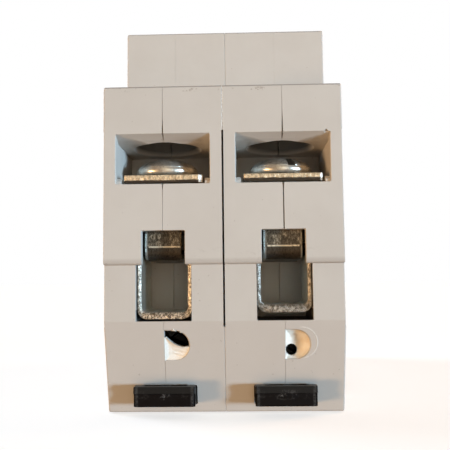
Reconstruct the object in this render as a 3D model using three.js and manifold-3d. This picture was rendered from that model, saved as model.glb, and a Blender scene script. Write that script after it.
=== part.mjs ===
// Two-pole miniature circuit breaker for a 35 mm mounting rail, as an assembly of separate pieces.
// Millimetres. +Z runs from the rail side to the nose with the toggles, +Y from the load end
// to the line end, +X across the poles. The origin is on the rail side, under the middle.
import * as THREE from "three";
import { mergeVertices } from "three/addons/utils/BufferGeometryUtils.js";
import Module from "manifold-3d";

const wasm = await Module();
wasm.setup();

// ---- Driving dimensions -------------------------------------------------------------------
const POLES = 2;
const POLE_WIDTH = 17.66;
const POLE_PITCH = 17.74;
const PARTING_GAP = 0.1;
const LENGTH = 85;
const SHOULDER_Z = 48.6;
const NOSE_Z = 64.5;
const NOSE_LENGTH = 45;
const WALL = 1.3;

const END = LENGTH / 2;
const HALF_POLE = POLE_WIDTH / 2;
const HALF_NOSE = NOSE_LENGTH / 2;

// End faces: an upright terminal face, a small step back, then a slope towards the rail.
const STEP_Z = 22.0;
const STEP_DEPTH = 0.88;
const SLOPE_TOP_Z = 13.75;
const SLOPE_DEPTH = 5.16;
const SIDE_RELIEF = 0.1;
const SIDE_RELIEF_Z = [12.9, 41.8];

// Rail recess, for a flange 35 mm wide and 1 mm thick.
const RAIL_Z = 4.6;
const RAIL_HALF = 17.85;
const HOOK_REACH = 1.6;
const HOOK_Z = [1.8, 3.4];
const SEAT_HALF = 15.6; // the rail lies on this stretch; shallow grooves run beside it
const SEAT_GROOVE = 0.3;

// Hollow for the mechanism, between the terminal blocks and up into the nose.
const BAY_END = 25.9;
const BAY_FLOOR_Z = 6.0;
const BAY_STEP_Z = 42.0;
const BAY_STEP_Y = 23.4;
const BAY_TOP_Z = 47.2;
const NOSE_BAY_Y = 16.8;

// Terminals. Depths are measured inwards from the end face.
const WINDOW_HALF = 6.95;
const WINDOW_Z = [33.9, 41.4];
const WINDOW_DEPTH = 14.4;
const CEILING_Z = 40.3;
const CEILING_RUN = 2.2;
const SCREW_DEPTH = 6.8;
const ACCESS_R = 4.9;
const ACCESS_TOP_R = 3.3; // where the screwdriver goes in
const ACCESS_STEP_Z = 45.6;
const NARROW_HALF = 3.12;
const NARROW_TOP_Z = 27.0;
const CHAMBER_HALF = 4.1;
const CHAMBER_DEPTH = 15.4;
const CHAMBER_TOP_Z = 34.0;
const FACE_WALL = 1.3;
const SHANK_WAY_R = 3.0;

const CAGE_HALF = 3.88;
const CAGE_INNER_HALF = 3.45;
const CAGE_Z = [14.15, 26.85];
const CAGE_INNER_Z = [15.0, 24.3];
const CAGE_DEPTHS = [1.5, 12.1];
const CAGE_NUT_DEPTH = 4.1;
const CAGE_CORNER_R = 1.3;
const CAGE_RAISED = 0.9;

const STRAP_HALF = 2.7;
const STRAP_DEPTHS = [2.5, 18.2];
const STRAP_Z = [22.7, 30.0];
const STRAP_THICK = 1.2;
const STRAP_BEND_R = 1.5;
const STRAP_SHIFT = { load: [-0.25, 0], line: [0, 0] }; // sideways, by pole

const PLATE_HALF = 5.85;
const PLATE_DEPTHS = [0.9, 12.6];
const PLATE_Z = [34.15, 35.35];

const HEAD_R = 4.85;
const HEAD_Z = [35.7, 38.5];
const HEAD_RIM = 1.1;
const SHANK_R = 2.5;
const SHANK_TIP_Z = 24.35;
const SHANK_HOLE_R = 2.72;
const RECESS_DEPTH = 2.0;
const SLOT_BLADE = { span: 9.4, width: 1.2 };
const CROSS_BLADE = { span: 7.4, width: 1.0 };
const SCREW_TURNS = { load: [10, -71.5], line: [35, -25] }; // degrees, by pole

// Rail clip, a slider in a channel on the load side.
const CLIP_HALF = 4.5;
const CLIP_FRONT = -41.2;
const CHANNEL_HALF = 4.65;
const CHANNEL_Z = [1.2, 4.2];

// Calibration screw under the load terminal, in a D-shaped hole of the right-hand shell.
const CALIBRATION_X = 1.85;
const CALIBRATION_Z = 10.2;
const CALIBRATION_R = 2.15;
const CALIBRATION_SCREW_R = 1.4;
const SEALANT_EDGE_X = 0.1;

// Pivots of the mechanism, as [y, z].
const TOGGLE_PIVOT = [0, 54];
const TOGGLE_LEAN = THREE.MathUtils.degToRad(36);
const CRANK_R = 5;
const CONTACT_PIVOT = [-10, 34];
const LINK_END = [-13, 46];
const LATCH_PIVOT = [-11.2, 39.5];
const TRIP_PIVOT = [-18, 44.5];
const PIN_R = 1.5;
const PIN_HOLE_R = 1.7;
const SHAFT_HOLE_R = 1.62;

const DRUM_R = 10.6;
const DRUM_HALF_ANGLE = THREE.MathUtils.degToRad(90);
const DRUM_SKIN = 1.5;
const SPOKE_HALF_ANGLE = THREE.MathUtils.degToRad(24);
const DRUM_HALF = 5.2;
const HANDLE_R = 19.5;
const HANDLE_HALF = 4.2;
const SLOT_HALF_Y = 10.0;
const SLOT_HALF_X = 5.45;
const TIE_R = 1.1;
const TIE_AT_R = 16.6;

const COIL_Z = 33.5;
const COIL_R = 4.7;
const COIL_WIRE_R = 0.95;
const COIL_TURNS = 6;
const COIL_Y = [6.9, 21.1];
const YOKE_Y = [4.0, 24.0];
const YOKE_Z = [26.3, 40.7];

const CHUTE_Y = [-17, 10];
const CHUTE_Z = [6.5, 17.4];
const CHUTE_PLATES = 10;

const RIVETS = [
  [-29, 6.1, 1.1],
  [29, 6.1, 1.1],
  [-26.3, 45, 1.4],
  [26.3, 45, 1.4],
  [-19.7, 60.4, 1.4],
  [19.7, 60.4, 1.4],
];
const RIVET_CLEARANCE = 0.15;
const RIVET_HEAD_DEPTH = 0.8;
const PAST = 1; // how far a cutting solid runs past the faces that it cuts

// ---- Materials ----------------------------------------------------------------------------
const finish = (color, roughness, metalness) => () =>
  new THREE.MeshStandardMaterial({ color, roughness, metalness, flatShading: true });
const housingPlastic = finish(0xcfc6ba, 0.55, 0);
const blackPlastic = finish(0x1b1b1c, 0.45, 0);
const darkPlastic = finish(0x2a2c2f, 0.5, 0);
const zincSteel = finish(0xb9b7b0, 0.35, 1);
const springSteel = finish(0x8d8f92, 0.35, 1);
const copper = finish(0xb8714a, 0.35, 1);
const bimetalStrip = finish(0xa59a86, 0.4, 1);
const fibre = finish(0x8a8378, 0.8, 0);
const sealant = finish(0xf1ece0, 0.6, 0);

// ---- Making solids ------------------------------------------------------------------------
function solid(geometry, matrix = new THREE.Matrix4()) {
  const placed = geometry.clone().applyMatrix4(matrix);
  placed.deleteAttribute("normal");
  placed.deleteAttribute("uv");
  const merged = mergeVertices(placed, 1e-5);
  const mesh = new wasm.Mesh({
    numProp: 3,
    vertProperties: new Float32Array(merged.attributes.position.array),
    triVerts: new Uint32Array(merged.index.array),
  });
  return new wasm.Manifold(mesh);
}

function geometryOf(manifold) {
  const mesh = manifold.getMesh();
  const geometry = new THREE.BufferGeometry();
  geometry.setAttribute("position", new THREE.BufferAttribute(mesh.vertProperties, 3));
  geometry.setIndex(new THREE.BufferAttribute(mesh.triVerts, 1));
  geometry.computeVertexNormals();
  return geometry;
}

const joined = (first, ...others) => others.reduce((whole, other) => whole.add(other), first);

const without = (first, ...others) => others.reduce((whole, other) => whole.subtract(other), first);

function box([x0, x1], [y0, y1], [z0, z1]) {
  const geometry = new THREE.BoxGeometry(x1 - x0, y1 - y0, z1 - z0);
  const middle = new THREE.Matrix4().makeTranslation((x0 + x1) / 2, (y0 + y1) / 2, (z0 + z1) / 2);
  return solid(geometry, middle);
}

function outline(points) {
  if (points instanceof THREE.Shape) return points;
  return new THREE.Shape(points.map(([u, v]) => new THREE.Vector2(u, v)));
}

// A shape drawn in (y, z), extruded along +X.
function prismX(points, [x0, x1], curveSegments = 6) {
  const geometry = new THREE.ExtrudeGeometry(outline(points), {
    depth: x1 - x0,
    bevelEnabled: false,
    curveSegments,
  });
  const turn = new THREE.Matrix4().makeBasis(
    new THREE.Vector3(0, 1, 0),
    new THREE.Vector3(0, 0, 1),
    new THREE.Vector3(1, 0, 0),
  );
  return solid(geometry, turn.setPosition(x0, 0, 0));
}

// A shape drawn in (x, z), extruded along Y.
function prismY(points, [y0, y1], curveSegments = 6) {
  const geometry = new THREE.ExtrudeGeometry(outline(points), {
    depth: y1 - y0,
    bevelEnabled: false,
    curveSegments,
  });
  const turn = new THREE.Matrix4().makeBasis(
    new THREE.Vector3(1, 0, 0),
    new THREE.Vector3(0, 0, 1),
    new THREE.Vector3(0, -1, 0),
  );
  return solid(geometry, turn.setPosition(0, y1, 0));
}

function cylinder(axis, [u, v], radius, [from, to], sides = 20) {
  const geometry = new THREE.CylinderGeometry(radius, radius, to - from, sides);
  const middle = (from + to) / 2;
  if (axis === "x") {
    geometry.rotateZ(-Math.PI / 2);
    geometry.translate(middle, u, v);
  } else if (axis === "y") {
    geometry.translate(u, middle, v);
  } else {
    geometry.rotateX(Math.PI / 2);
    geometry.translate(u, v, middle);
  }
  return solid(geometry);
}

// A flat bar with round ends in the (y, z) plane.
function bar([y0, z0], [y1, z1], halfWidth, [x0, x1]) {
  const along = Math.atan2(z1 - z0, y1 - y0);
  const shape = new THREE.Shape();
  shape.absarc(y1, z1, halfWidth, along - Math.PI / 2, along + Math.PI / 2, false);
  shape.absarc(y0, z0, halfWidth, along + Math.PI / 2, along + (3 * Math.PI) / 2, false);
  return prismX(shape, [x0, x1], 6);
}

class Helix extends THREE.Curve {
  constructor(radius, turns, length) {
    super();
    Object.assign(this, { radius, turns, length });
  }
  getPoint(t, target = new THREE.Vector3()) {
    const angle = t * this.turns * 2 * Math.PI;
    return target.set(this.radius * Math.cos(angle), this.radius * Math.sin(angle), t * this.length);
  }
}

// A wire wound along local +Z, starting at the origin.
function winding(radius, wireRadius, turns, length, stepsPerTurn) {
  const section = new THREE.Shape();
  section.absarc(0, 0, wireRadius, 0, 2 * Math.PI, false);
  return new THREE.ExtrudeGeometry(section, {
    steps: Math.round(turns * stepsPerTurn),
    curveSegments: 3,
    extrudePath: new Helix(radius, turns, length),
  });
}

function piece(name, geometry, material) {
  const mesh = new THREE.Mesh(geometry, material());
  mesh.name = name;
  return mesh;
}

// ---- Housing ------------------------------------------------------------------------------
function caseOutline() {
  const slopeFoot = END - SLOPE_DEPTH;
  const stepBack = END - STEP_DEPTH;
  const fixedHook = RAIL_HALF - HOOK_REACH;
  return [
    [-slopeFoot, 0],
    [-RAIL_HALF, 0],
    [-RAIL_HALF, RAIL_Z + SEAT_GROOVE],
    [-SEAT_HALF, RAIL_Z + SEAT_GROOVE],
    [-SEAT_HALF, RAIL_Z],
    [SEAT_HALF, RAIL_Z],
    [SEAT_HALF, RAIL_Z + SEAT_GROOVE],
    [RAIL_HALF, RAIL_Z + SEAT_GROOVE],
    [RAIL_HALF, HOOK_Z[1]],
    [fixedHook, HOOK_Z[1]],
    [fixedHook, HOOK_Z[0]],
    [RAIL_HALF, 0],
    [slopeFoot, 0],
    [stepBack, SLOPE_TOP_Z],
    [stepBack, STEP_Z],
    [END, STEP_Z],
    [END, SHOULDER_Z],
    [HALF_NOSE, SHOULDER_Z],
    [HALF_NOSE, NOSE_Z],
    [-HALF_NOSE, NOSE_Z],
    [-HALF_NOSE, SHOULDER_Z],
    [-END, SHOULDER_Z],
    [-END, STEP_Z],
    [-stepBack, STEP_Z],
    [-stepBack, SLOPE_TOP_Z],
  ];
}

function bayOutline() {
  return [
    [-BAY_END, BAY_FLOOR_Z],
    [BAY_END, BAY_FLOOR_Z],
    [BAY_END, BAY_STEP_Z],
    [BAY_STEP_Y, BAY_STEP_Z],
    [BAY_STEP_Y, BAY_TOP_Z],
    [NOSE_BAY_Y, BAY_TOP_Z],
    [NOSE_BAY_Y, NOSE_Z - WALL],
    [-NOSE_BAY_Y, NOSE_Z - WALL],
    [-NOSE_BAY_Y, BAY_TOP_Z],
    [-BAY_STEP_Y, BAY_TOP_Z],
    [-BAY_STEP_Y, BAY_STEP_Z],
    [-BAY_END, BAY_STEP_Z],
  ];
}

// The hollows of one terminal. side is -1 at the load end and +1 at the line end.
function terminalHollows(side) {
  const span = (d0, d1) => [side * (END - d0), side * (END - d1)].sort((a, b) => a - b);
  const screwAt = [0, side * (END - SCREW_DEPTH)];
  const both = (half) => [-half, half];
  const windowProfile = [
    [side * (END + PAST), WINDOW_Z[0]],
    [side * (END - WINDOW_DEPTH), WINDOW_Z[0]],
    [side * (END - WINDOW_DEPTH), CEILING_Z],
    [side * (END - CEILING_RUN), CEILING_Z],
    [side * END, WINDOW_Z[1]],
    [side * (END + PAST), WINDOW_Z[1]],
  ];
  if (side > 0) windowProfile.reverse();
  return [
    prismX(windowProfile, both(WINDOW_HALF)),
    cylinder("z", screwAt, ACCESS_R, [CEILING_Z - 0.1, ACCESS_STEP_Z], 20),
    cylinder("z", screwAt, ACCESS_TOP_R, [ACCESS_STEP_Z - 0.1, SHOULDER_Z + PAST], 20),
    cylinder("z", screwAt, SHANK_WAY_R, [CHAMBER_TOP_Z - 0.2, WINDOW_Z[0] + 0.2], 14),
    box(both(NARROW_HALF), span(-PAST, FACE_WALL + 0.1), [SLOPE_TOP_Z, NARROW_TOP_Z]),
    box(both(CHAMBER_HALF), span(-PAST, FACE_WALL + 0.1), [SLOPE_TOP_Z, STEP_Z]),
    box(both(CHAMBER_HALF), span(FACE_WALL, CHAMBER_DEPTH), [SLOPE_TOP_Z, CHAMBER_TOP_Z - 0.15]),
    box(both(STRAP_HALF + 0.3), span(CHAMBER_DEPTH - 0.1, END), [STRAP_Z[0] - 0.3, STRAP_Z[0] + 1.5]),
  ];
}

// Everything that one pole's two half shells have in common, still in one piece.
function poleCase() {
  const across = [-HALF_POLE - PAST, HALF_POLE + PAST];
  const body = prismX(caseOutline(), [-HALF_POLE, HALF_POLE]);
  const bay = prismX(bayOutline(), [WALL - HALF_POLE, HALF_POLE - WALL]);
  const slotSpanZ = [NOSE_Z - WALL - 0.1, NOSE_Z + PAST];
  const slot = box([-SLOT_HALF_X, SLOT_HALF_X], [-SLOT_HALF_Y, SLOT_HALF_Y], slotSpanZ);
  const reliefs = [-1, 1].map((side) =>
    box(
      [side * HALF_POLE - SIDE_RELIEF, side * HALF_POLE + SIDE_RELIEF],
      [-END - PAST, END + PAST],
      SIDE_RELIEF_Z,
    ),
  );
  const channel = box([-CHANNEL_HALF, CHANNEL_HALF], [-END, -RAIL_HALF + 0.1], CHANNEL_Z);
  const rivetWays = RIVETS.map(([y, z, r]) => cylinder("x", [y, z], r + RIVET_CLEARANCE, across, 10));
  const hollow = without(
    body,
    bay,
    slot,
    channel,
    ...reliefs,
    ...rivetWays,
    ...terminalHollows(-1),
    ...terminalHollows(1),
  );
  const pins = [TOGGLE_PIVOT, CONTACT_PIVOT].map((at) =>
    cylinder("x", at, PIN_R, [WALL / 2 - HALF_POLE, HALF_POLE - WALL / 2], 12),
  );
  return joined(hollow, ...pins);
}

function calibrationHole() {
  const shape = new THREE.Shape();
  shape.moveTo(-0.5, CALIBRATION_Z - CALIBRATION_R);
  shape.lineTo(CALIBRATION_X - 0.4, CALIBRATION_Z - CALIBRATION_R);
  shape.absarc(CALIBRATION_X - 0.4, CALIBRATION_Z, CALIBRATION_R, -Math.PI / 2, Math.PI / 2, false);
  shape.lineTo(-0.5, CALIBRATION_Z + CALIBRATION_R);
  const mouth = prismY(shape, [-END, -END + 7]);
  const boreR = CALIBRATION_SCREW_R + 0.2;
  const bore = cylinder("y", [CALIBRATION_X, CALIBRATION_Z], boreR, [-END + 6, PAST - BAY_END], 14);
  return mouth.add(bore);
}

// Holes for the trip shaft: right through between the poles, blind in the outer walls.
function tripShaftWay(shellSide, poleSide) {
  const inner = shellSide !== poleSide;
  const reach = inner ? HALF_POLE + PAST : HALF_POLE - WALL / 2;
  const span = [shellSide * 5, shellSide * reach].sort((a, b) => a - b);
  return cylinder("x", TRIP_PIVOT, PIN_R + 0.4, span, 16);
}

function halfShells(pole, poleSide) {
  const whole = poleCase();
  return ["left", "right"].map((hand, index) => {
    const side = index === 0 ? -1 : 1;
    const span = [side * (PARTING_GAP / 2), side * (HALF_POLE + PAST)].sort((a, b) => a - b);
    const keep = box(span, [-END - PAST, END + PAST], [-PAST, NOSE_Z + PAST]);
    let shell = whole.intersect(keep).subtract(tripShaftWay(side, poleSide));
    if (side > 0) shell = shell.subtract(calibrationHole());
    return piece(`shell_${pole}_${hand}`, geometryOf(shell), housingPlastic);
  });
}

function rivet(index, [y, z, radius]) {
  const half = (POLE_PITCH * (POLES - 1) + POLE_WIDTH) / 2 - 0.05;
  const shank = cylinder("x", [y, z], radius, [-half, half], 10);
  const dimples = [-1, 1].map((side) => {
    const ends = [side * (half - RIVET_HEAD_DEPTH), side * (half + PAST)].sort((a, b) => a - b);
    return cylinder("x", [y, z], radius / 2, ends, 6);
  });
  return piece(`rivet_${index + 1}`, geometryOf(without(shank, ...dimples)), zincSteel);
}

// ---- Terminals, drawn at the load end ------------------------------------------------------
const loadY = (depth) => depth - END;
const SCREW_AT = [0, loadY(SCREW_DEPTH)];

// A U with rounded lower corners, closed straight across its top, in (x, z).
function roundedU(path, half, [low, high], radius) {
  path.moveTo(-half, high);
  path.lineTo(-half, low + radius);
  path.absarc(radius - half, low + radius, radius, Math.PI, 1.5 * Math.PI, false);
  path.absarc(half - radius, low + radius, radius, 1.5 * Math.PI, 2 * Math.PI, false);
  path.lineTo(half, high);
  return path;
}

function cageGeometry() {
  const innerR = CAGE_CORNER_R - (CAGE_HALF - CAGE_INNER_HALF);
  const shape = roundedU(new THREE.Shape(), CAGE_HALF, CAGE_Z, CAGE_CORNER_R);
  shape.holes.push(roundedU(new THREE.Path(), CAGE_INNER_HALF, CAGE_INNER_Z, innerR));
  const strip = prismY(shape, CAGE_DEPTHS.map(loadY), 4);
  const frontCut = box(
    [-CAGE_INNER_HALF, CAGE_INNER_HALF],
    [loadY(0), loadY(CAGE_NUT_DEPTH)],
    [CAGE_INNER_Z[1] - PAST, CAGE_Z[1] + PAST],
  );
  const thread = cylinder("z", SCREW_AT, SHANK_HOLE_R, [CAGE_INNER_Z[1] - PAST, CAGE_Z[1] + PAST]);
  return geometryOf(without(strip, frontCut, thread));
}

// A combined recess: one blade is as long as a plain slot, the one across it is shorter.
function screwGeometry(turn) {
  const domeSteps = 4;
  const rimZ = HEAD_Z[0] + HEAD_RIM;
  const profile = [
    [0, SHANK_TIP_Z],
    [SHANK_R - 0.5, SHANK_TIP_Z],
    [SHANK_R, SHANK_TIP_Z + 0.6],
    [SHANK_R, HEAD_Z[0]],
    [HEAD_R - 0.3, HEAD_Z[0]],
    [HEAD_R, HEAD_Z[0] + 0.3],
    [HEAD_R, rimZ],
  ];
  for (let step = 1; step <= domeSteps; step += 1) {
    const angle = (step / domeSteps) * (Math.PI / 2);
    profile.push([HEAD_R * Math.cos(angle), rimZ + (HEAD_Z[1] - rimZ) * Math.sin(angle)]);
  }
  profile[profile.length - 1][0] = 0;
  const lathed = new THREE.LatheGeometry(profile.map(([r, z]) => new THREE.Vector2(r, z)), 20);
  const blank = solid(lathed.rotateX(Math.PI / 2));
  const recessZ = [HEAD_Z[1] - RECESS_DEPTH, HEAD_Z[1] + PAST];
  const half = (size) => [-size / 2, size / 2];
  const slot = box(half(SLOT_BLADE.span), half(SLOT_BLADE.width), recessZ);
  const cross = box(half(CROSS_BLADE.width), half(CROSS_BLADE.span), recessZ);
  const turned = without(blank, slot, cross).rotate([0, 0, turn]);
  return geometryOf(turned.translate([0, SCREW_AT[1], 0]));
}

function strapGeometry() {
  const [front, back] = STRAP_DEPTHS.map(loadY);
  const [low, high] = STRAP_Z;
  const shape = new THREE.Shape();
  shape.moveTo(front, high);
  shape.lineTo(front, low + STRAP_BEND_R);
  shape.absarc(front + STRAP_BEND_R, low + STRAP_BEND_R, STRAP_BEND_R, Math.PI, 1.5 * Math.PI, false);
  shape.lineTo(back, low);
  shape.lineTo(back, low + STRAP_THICK);
  shape.lineTo(front + STRAP_BEND_R, low + STRAP_THICK);
  shape.lineTo(front + STRAP_THICK, low + STRAP_BEND_R);
  shape.lineTo(front + STRAP_THICK, high);
  return geometryOf(prismX(shape, [-STRAP_HALF, STRAP_HALF]));
}

function clampPlateGeometry() {
  const plate = box([-PLATE_HALF, PLATE_HALF], PLATE_DEPTHS.map(loadY), PLATE_Z);
  const hole = cylinder("z", SCREW_AT, SHANK_HOLE_R, [PLATE_Z[0] - PAST, PLATE_Z[1] + PAST]);
  return geometryOf(plate.subtract(hole));
}

// One terminal's four pieces, at the load end or turned round to the line end.
function terminal(end, pole, cageLift) {
  const group = new THREE.Group();
  if (end === "line") group.rotation.z = Math.PI;
  const cage = piece(`${end}_cage_${pole}`, cageGeometry(), zincSteel);
  cage.position.z = cageLift;
  const strap = piece(`${end}_strap_${pole}`, strapGeometry(), zincSteel);
  strap.position.x = STRAP_SHIFT[end][pole - 1];
  group.add(
    cage,
    piece(`${end}_screw_${pole}`, screwGeometry(SCREW_TURNS[end][pole - 1]), zincSteel),
    strap,
    piece(`${end}_clamp_plate_${pole}`, clampPlateGeometry(), zincSteel),
  );
  return group;
}

// ---- Rail clip and calibration screw -------------------------------------------------------
function railClip(pole) {
  const front = CLIP_FRONT;
  const back = -RAIL_HALF - 0.4;
  const tip = -RAIL_HALF + HOOK_REACH;
  const profile = [
    [front + 0.35, 1.35],
    [-38.4, 1.35],
    [-38.4, 1.45],
    [back, 1.45],
    [tip - 0.5, 1.7],
    [tip, 2.5],
    [tip, 3.3],
    [back, 3.3],
    [back, 4.0],
    [-39.4, 4.0],
    [-39.4, 4.35],
    [front, 4.35],
    [front, 3.3],
    [front + 0.35, 3.2],
  ];
  return piece(`rail_clip_${pole}`, geometryOf(prismX(profile, [-CLIP_HALF, CLIP_HALF])), blackPlastic);
}

function calibrationScrew(pole) {
  const at = [CALIBRATION_X, CALIBRATION_Z];
  const shank = cylinder("y", at, CALIBRATION_SCREW_R, [-END + 6.6, -23.2], 14);
  const slit = box(
    [CALIBRATION_X - 2, CALIBRATION_X + 2],
    [-END + 6, -END + 7.4],
    [CALIBRATION_Z - 0.3, CALIBRATION_Z + 0.3],
  );
  return piece(`calibration_screw_${pole}`, geometryOf(shank.subtract(slit)), zincSteel);
}

// Sealing compound in the hole's mouth. One blob fills the lower left of the hole almost to
// the surface, the other is a deeper plug with a round hole left open in it.
function sealantPlug(pole) {
  const radius = CALIBRATION_R - 0.15;
  const centre = CALIBRATION_X - 0.4;
  const low = CALIBRATION_Z - radius;
  const shape = new THREE.Shape();
  shape.moveTo(SEALANT_EDGE_X, low);
  shape.lineTo(centre, low);
  if (pole === 1) {
    shape.absarc(centre, CALIBRATION_Z, radius, -Math.PI / 2, -0.2, false);
    shape.lineTo(2.3, 10.0);
    shape.lineTo(1.0, 10.6);
    shape.lineTo(SEALANT_EDGE_X, 11.5);
    return piece("sealant_plug_1", geometryOf(prismY(shape, [-39.9, -36.3])), sealant);
  }
  shape.absarc(centre, CALIBRATION_Z, radius, -Math.PI / 2, Math.PI / 2, false);
  shape.lineTo(SEALANT_EDGE_X, CALIBRATION_Z + radius);
  const leftOpen = cylinder("y", [0.98, 9.3], 0.8, [-40, -35], 16);
  return piece("sealant_plug_2", geometryOf(prismY(shape, [-39.0, -36.3]).subtract(leftOpen)), sealant);
}

// ---- Toggle, link and contact lever ---------------------------------------------------------
function polar([y, z], radius, angle) {
  return [y + radius * Math.cos(angle), z + radius * Math.sin(angle)];
}

const HANDLE_ANGLE = Math.PI / 2 - TOGGLE_LEAN;
const CRANK_PIN = polar(TOGGLE_PIVOT, CRANK_R, HANDLE_ANGLE + Math.PI);

// A sector of a ring in the (y, z) plane, centred on the handle's direction.
function ringSector(centre, [inner, outer], halfAngle) {
  const shape = new THREE.Shape();
  shape.absarc(...centre, outer, HANDLE_ANGLE - halfAngle, HANDLE_ANGLE + halfAngle, false);
  shape.absarc(...centre, inner, HANDLE_ANGLE + halfAngle, HANDLE_ANGLE - halfAngle, true);
  return shape;
}

function toggle(pole) {
  const across = [-DRUM_HALF, DRUM_HALF];
  const skin = prismX(ringSector(TOGGLE_PIVOT, [DRUM_R - DRUM_SKIN, DRUM_R], DRUM_HALF_ANGLE), across, 8);
  const spoke = prismX(ringSector(TOGGLE_PIVOT, [2, DRUM_R - 0.5], SPOKE_HALF_ANGLE), across, 4);
  const hub = cylinder("x", TOGGLE_PIVOT, 3, across, 14);
  const root = polar(TOGGLE_PIVOT, DRUM_R - 2, HANDLE_ANGLE);
  const tip = polar(TOGGLE_PIVOT, HANDLE_R - 1.5, HANDLE_ANGLE);
  const handle = bar(root, tip, 1.5, [-HANDLE_HALF, HANDLE_HALF]);
  const crank = bar(TOGGLE_PIVOT, CRANK_PIN, 1.7, [-1.4, 1.4]);
  const through = [-DRUM_HALF - PAST, DRUM_HALF + PAST];
  const pivotHole = cylinder("x", TOGGLE_PIVOT, PIN_HOLE_R, through, 16);
  const linkHole = cylinder("x", CRANK_PIN, 0.95, through, 12);
  const tieHole = cylinder("x", polar(TOGGLE_PIVOT, TIE_AT_R, HANDLE_ANGLE), TIE_R + 0.1, through, 14);
  const shape = without(joined(skin, spoke, hub, handle, crank), pivotHole, linkHole, tieHole);
  return piece(`toggle_${pole}`, geometryOf(shape), darkPlastic);
}

function handleTie() {
  const half = POLE_PITCH / 2 + HANDLE_HALF + 0.6;
  const rod = cylinder("x", polar(TOGGLE_PIVOT, TIE_AT_R, HANDLE_ANGLE), TIE_R, [-half, half], 14);
  return piece("handle_tie", geometryOf(rod), zincSteel);
}

function toggleLink(pole) {
  const wire = 0.65;
  const layer = 2.6;
  const side = [layer - wire, layer + wire];
  const span = bar(CRANK_PIN, LINK_END, wire, side);
  const upper = cylinder("x", CRANK_PIN, wire, [-1.2, layer], 10);
  const lower = cylinder("x", LINK_END, wire, [1.7, layer], 10);
  return piece(`toggle_link_${pole}`, geometryOf(joined(span, upper, lower)), springSteel);
}

function contactCarrier(pole) {
  const hub = cylinder("x", CONTACT_PIVOT, 3.2, [-3, 3], 18);
  const arm = bar(CONTACT_PIVOT, LINK_END, 1.5, [-1.5, 1.5]);
  const foot = bar(CONTACT_PIVOT, [-8.4, 30], 1.9, [-2.6, 2.6]);
  const groove = box([-1.7, 1.7], [-12, -3], [24, 30.9]);
  const pivotHole = cylinder("x", CONTACT_PIVOT, PIN_HOLE_R, [-4, 4], 16);
  const lever = without(joined(hub, arm, foot), groove, pivotHole);
  return piece(`contact_carrier_${pole}`, geometryOf(lever), darkPlastic);
}

function contactArm(pole) {
  const half = 1.55;
  const blade = prismX(
    [
      [-9.6, 30.7],
      [-9.6, 28.6],
      [-3.7, 24.6],
      [-3.7, 21.6],
      [-2.1, 21.2],
      [-2.1, 25.4],
      [-7.2, 29.2],
      [-7.2, 30.7],
    ],
    [-half, half],
  );
  const button = cylinder("y", [0, 23.1], 1.4, [-2.2, -1.05], 14);
  return piece(`contact_arm_${pole}`, geometryOf(blade.add(button)), copper);
}

function contactSpring(pole) {
  const coil = piece(`contact_spring_${pole}`, winding(2.35, 0.32, 4, 2.8, 8), springSteel);
  coil.position.set(3.7, ...CONTACT_PIVOT);
  coil.rotation.y = Math.PI / 2;
  return coil;
}

function latchLever(pole) {
  const layer = [-3.2, -1.8];
  const arm = bar(LATCH_PIVOT, [-13.2, 46.2], 1.1, layer);
  const hook = bar([-13.2, 46.4], [-11.8, 47.2], 0.8, layer);
  return piece(`latch_lever_${pole}`, geometryOf(arm.add(hook)), zincSteel);
}

// ---- Trip gear ------------------------------------------------------------------------------
function tripLever(pole) {
  const hub = cylinder("x", TRIP_PIVOT, 2.6, [-5.6, 5.6], 16);
  const feeler = bar(TRIP_PIVOT, [-19.6, 35], 0.8, [1.2, 5.6]);
  const finger = bar(TRIP_PIVOT, [-15.7, 46.1], 0.7, [-3.4, -1.7]);
  const hole = cylinder("x", TRIP_PIVOT, SHAFT_HOLE_R, [-7, 7], 16);
  return piece(`trip_lever_${pole}`, geometryOf(joined(hub, feeler, finger).subtract(hole)), darkPlastic);
}

function tripShaft() {
  const half = POLE_PITCH / 2 + HALF_POLE - WALL / 2 - 0.2;
  return piece("trip_shaft", geometryOf(cylinder("x", TRIP_PIVOT, PIN_R, [-half, half], 14)), zincSteel);
}

function bimetal(pole) {
  const foot = [-24.6, 6.8];
  const shape = [
    [foot[0], foot[1]],
    [-21.6, foot[1]],
    [-21.6, 39],
    [-22.6, 39],
    [-22.6, 7.8],
    [foot[0], 7.8],
  ];
  return piece(`bimetal_${pole}`, geometryOf(prismX(shape, [0.8, 5.6])), bimetalStrip);
}

function coilWinding(pole) {
  const coil = piece(
    `coil_winding_${pole}`,
    winding(COIL_R, COIL_WIRE_R, COIL_TURNS, COIL_Y[1] - COIL_Y[0], 10),
    copper,
  );
  coil.position.set(0, COIL_Y[0], COIL_Z);
  coil.rotation.x = -Math.PI / 2;
  return coil;
}

function coilYoke(pole) {
  const half = 5;
  const [y0, y1] = YOKE_Y;
  const [z0, z1] = YOKE_Z;
  const plate = 1.4;
  const shape = [
    [y0, z0],
    [y1, z0],
    [y1, z1],
    [y1 - plate, z1],
    [y1 - plate, z0 + 1.1],
    [y0 + plate, z0 + 1.1],
    [y0 + plate, z1],
    [y0, z1],
  ];
  const rodHole = cylinder("y", [0, COIL_Z], 1.2, [y0 - PAST, y0 + plate + PAST], 12);
  return piece(`coil_yoke_${pole}`, geometryOf(prismX(shape, [-half, half]).subtract(rodHole)), zincSteel);
}

function plunger(pole) {
  const core = cylinder("y", [0, COIL_Z], 2.7, [9, 20.5], 16);
  const rod = cylinder("y", [0, COIL_Z], 0.8, [-2.8, 9.5], 10);
  return piece(`plunger_${pole}`, geometryOf(core.add(rod)), zincSteel);
}

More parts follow.
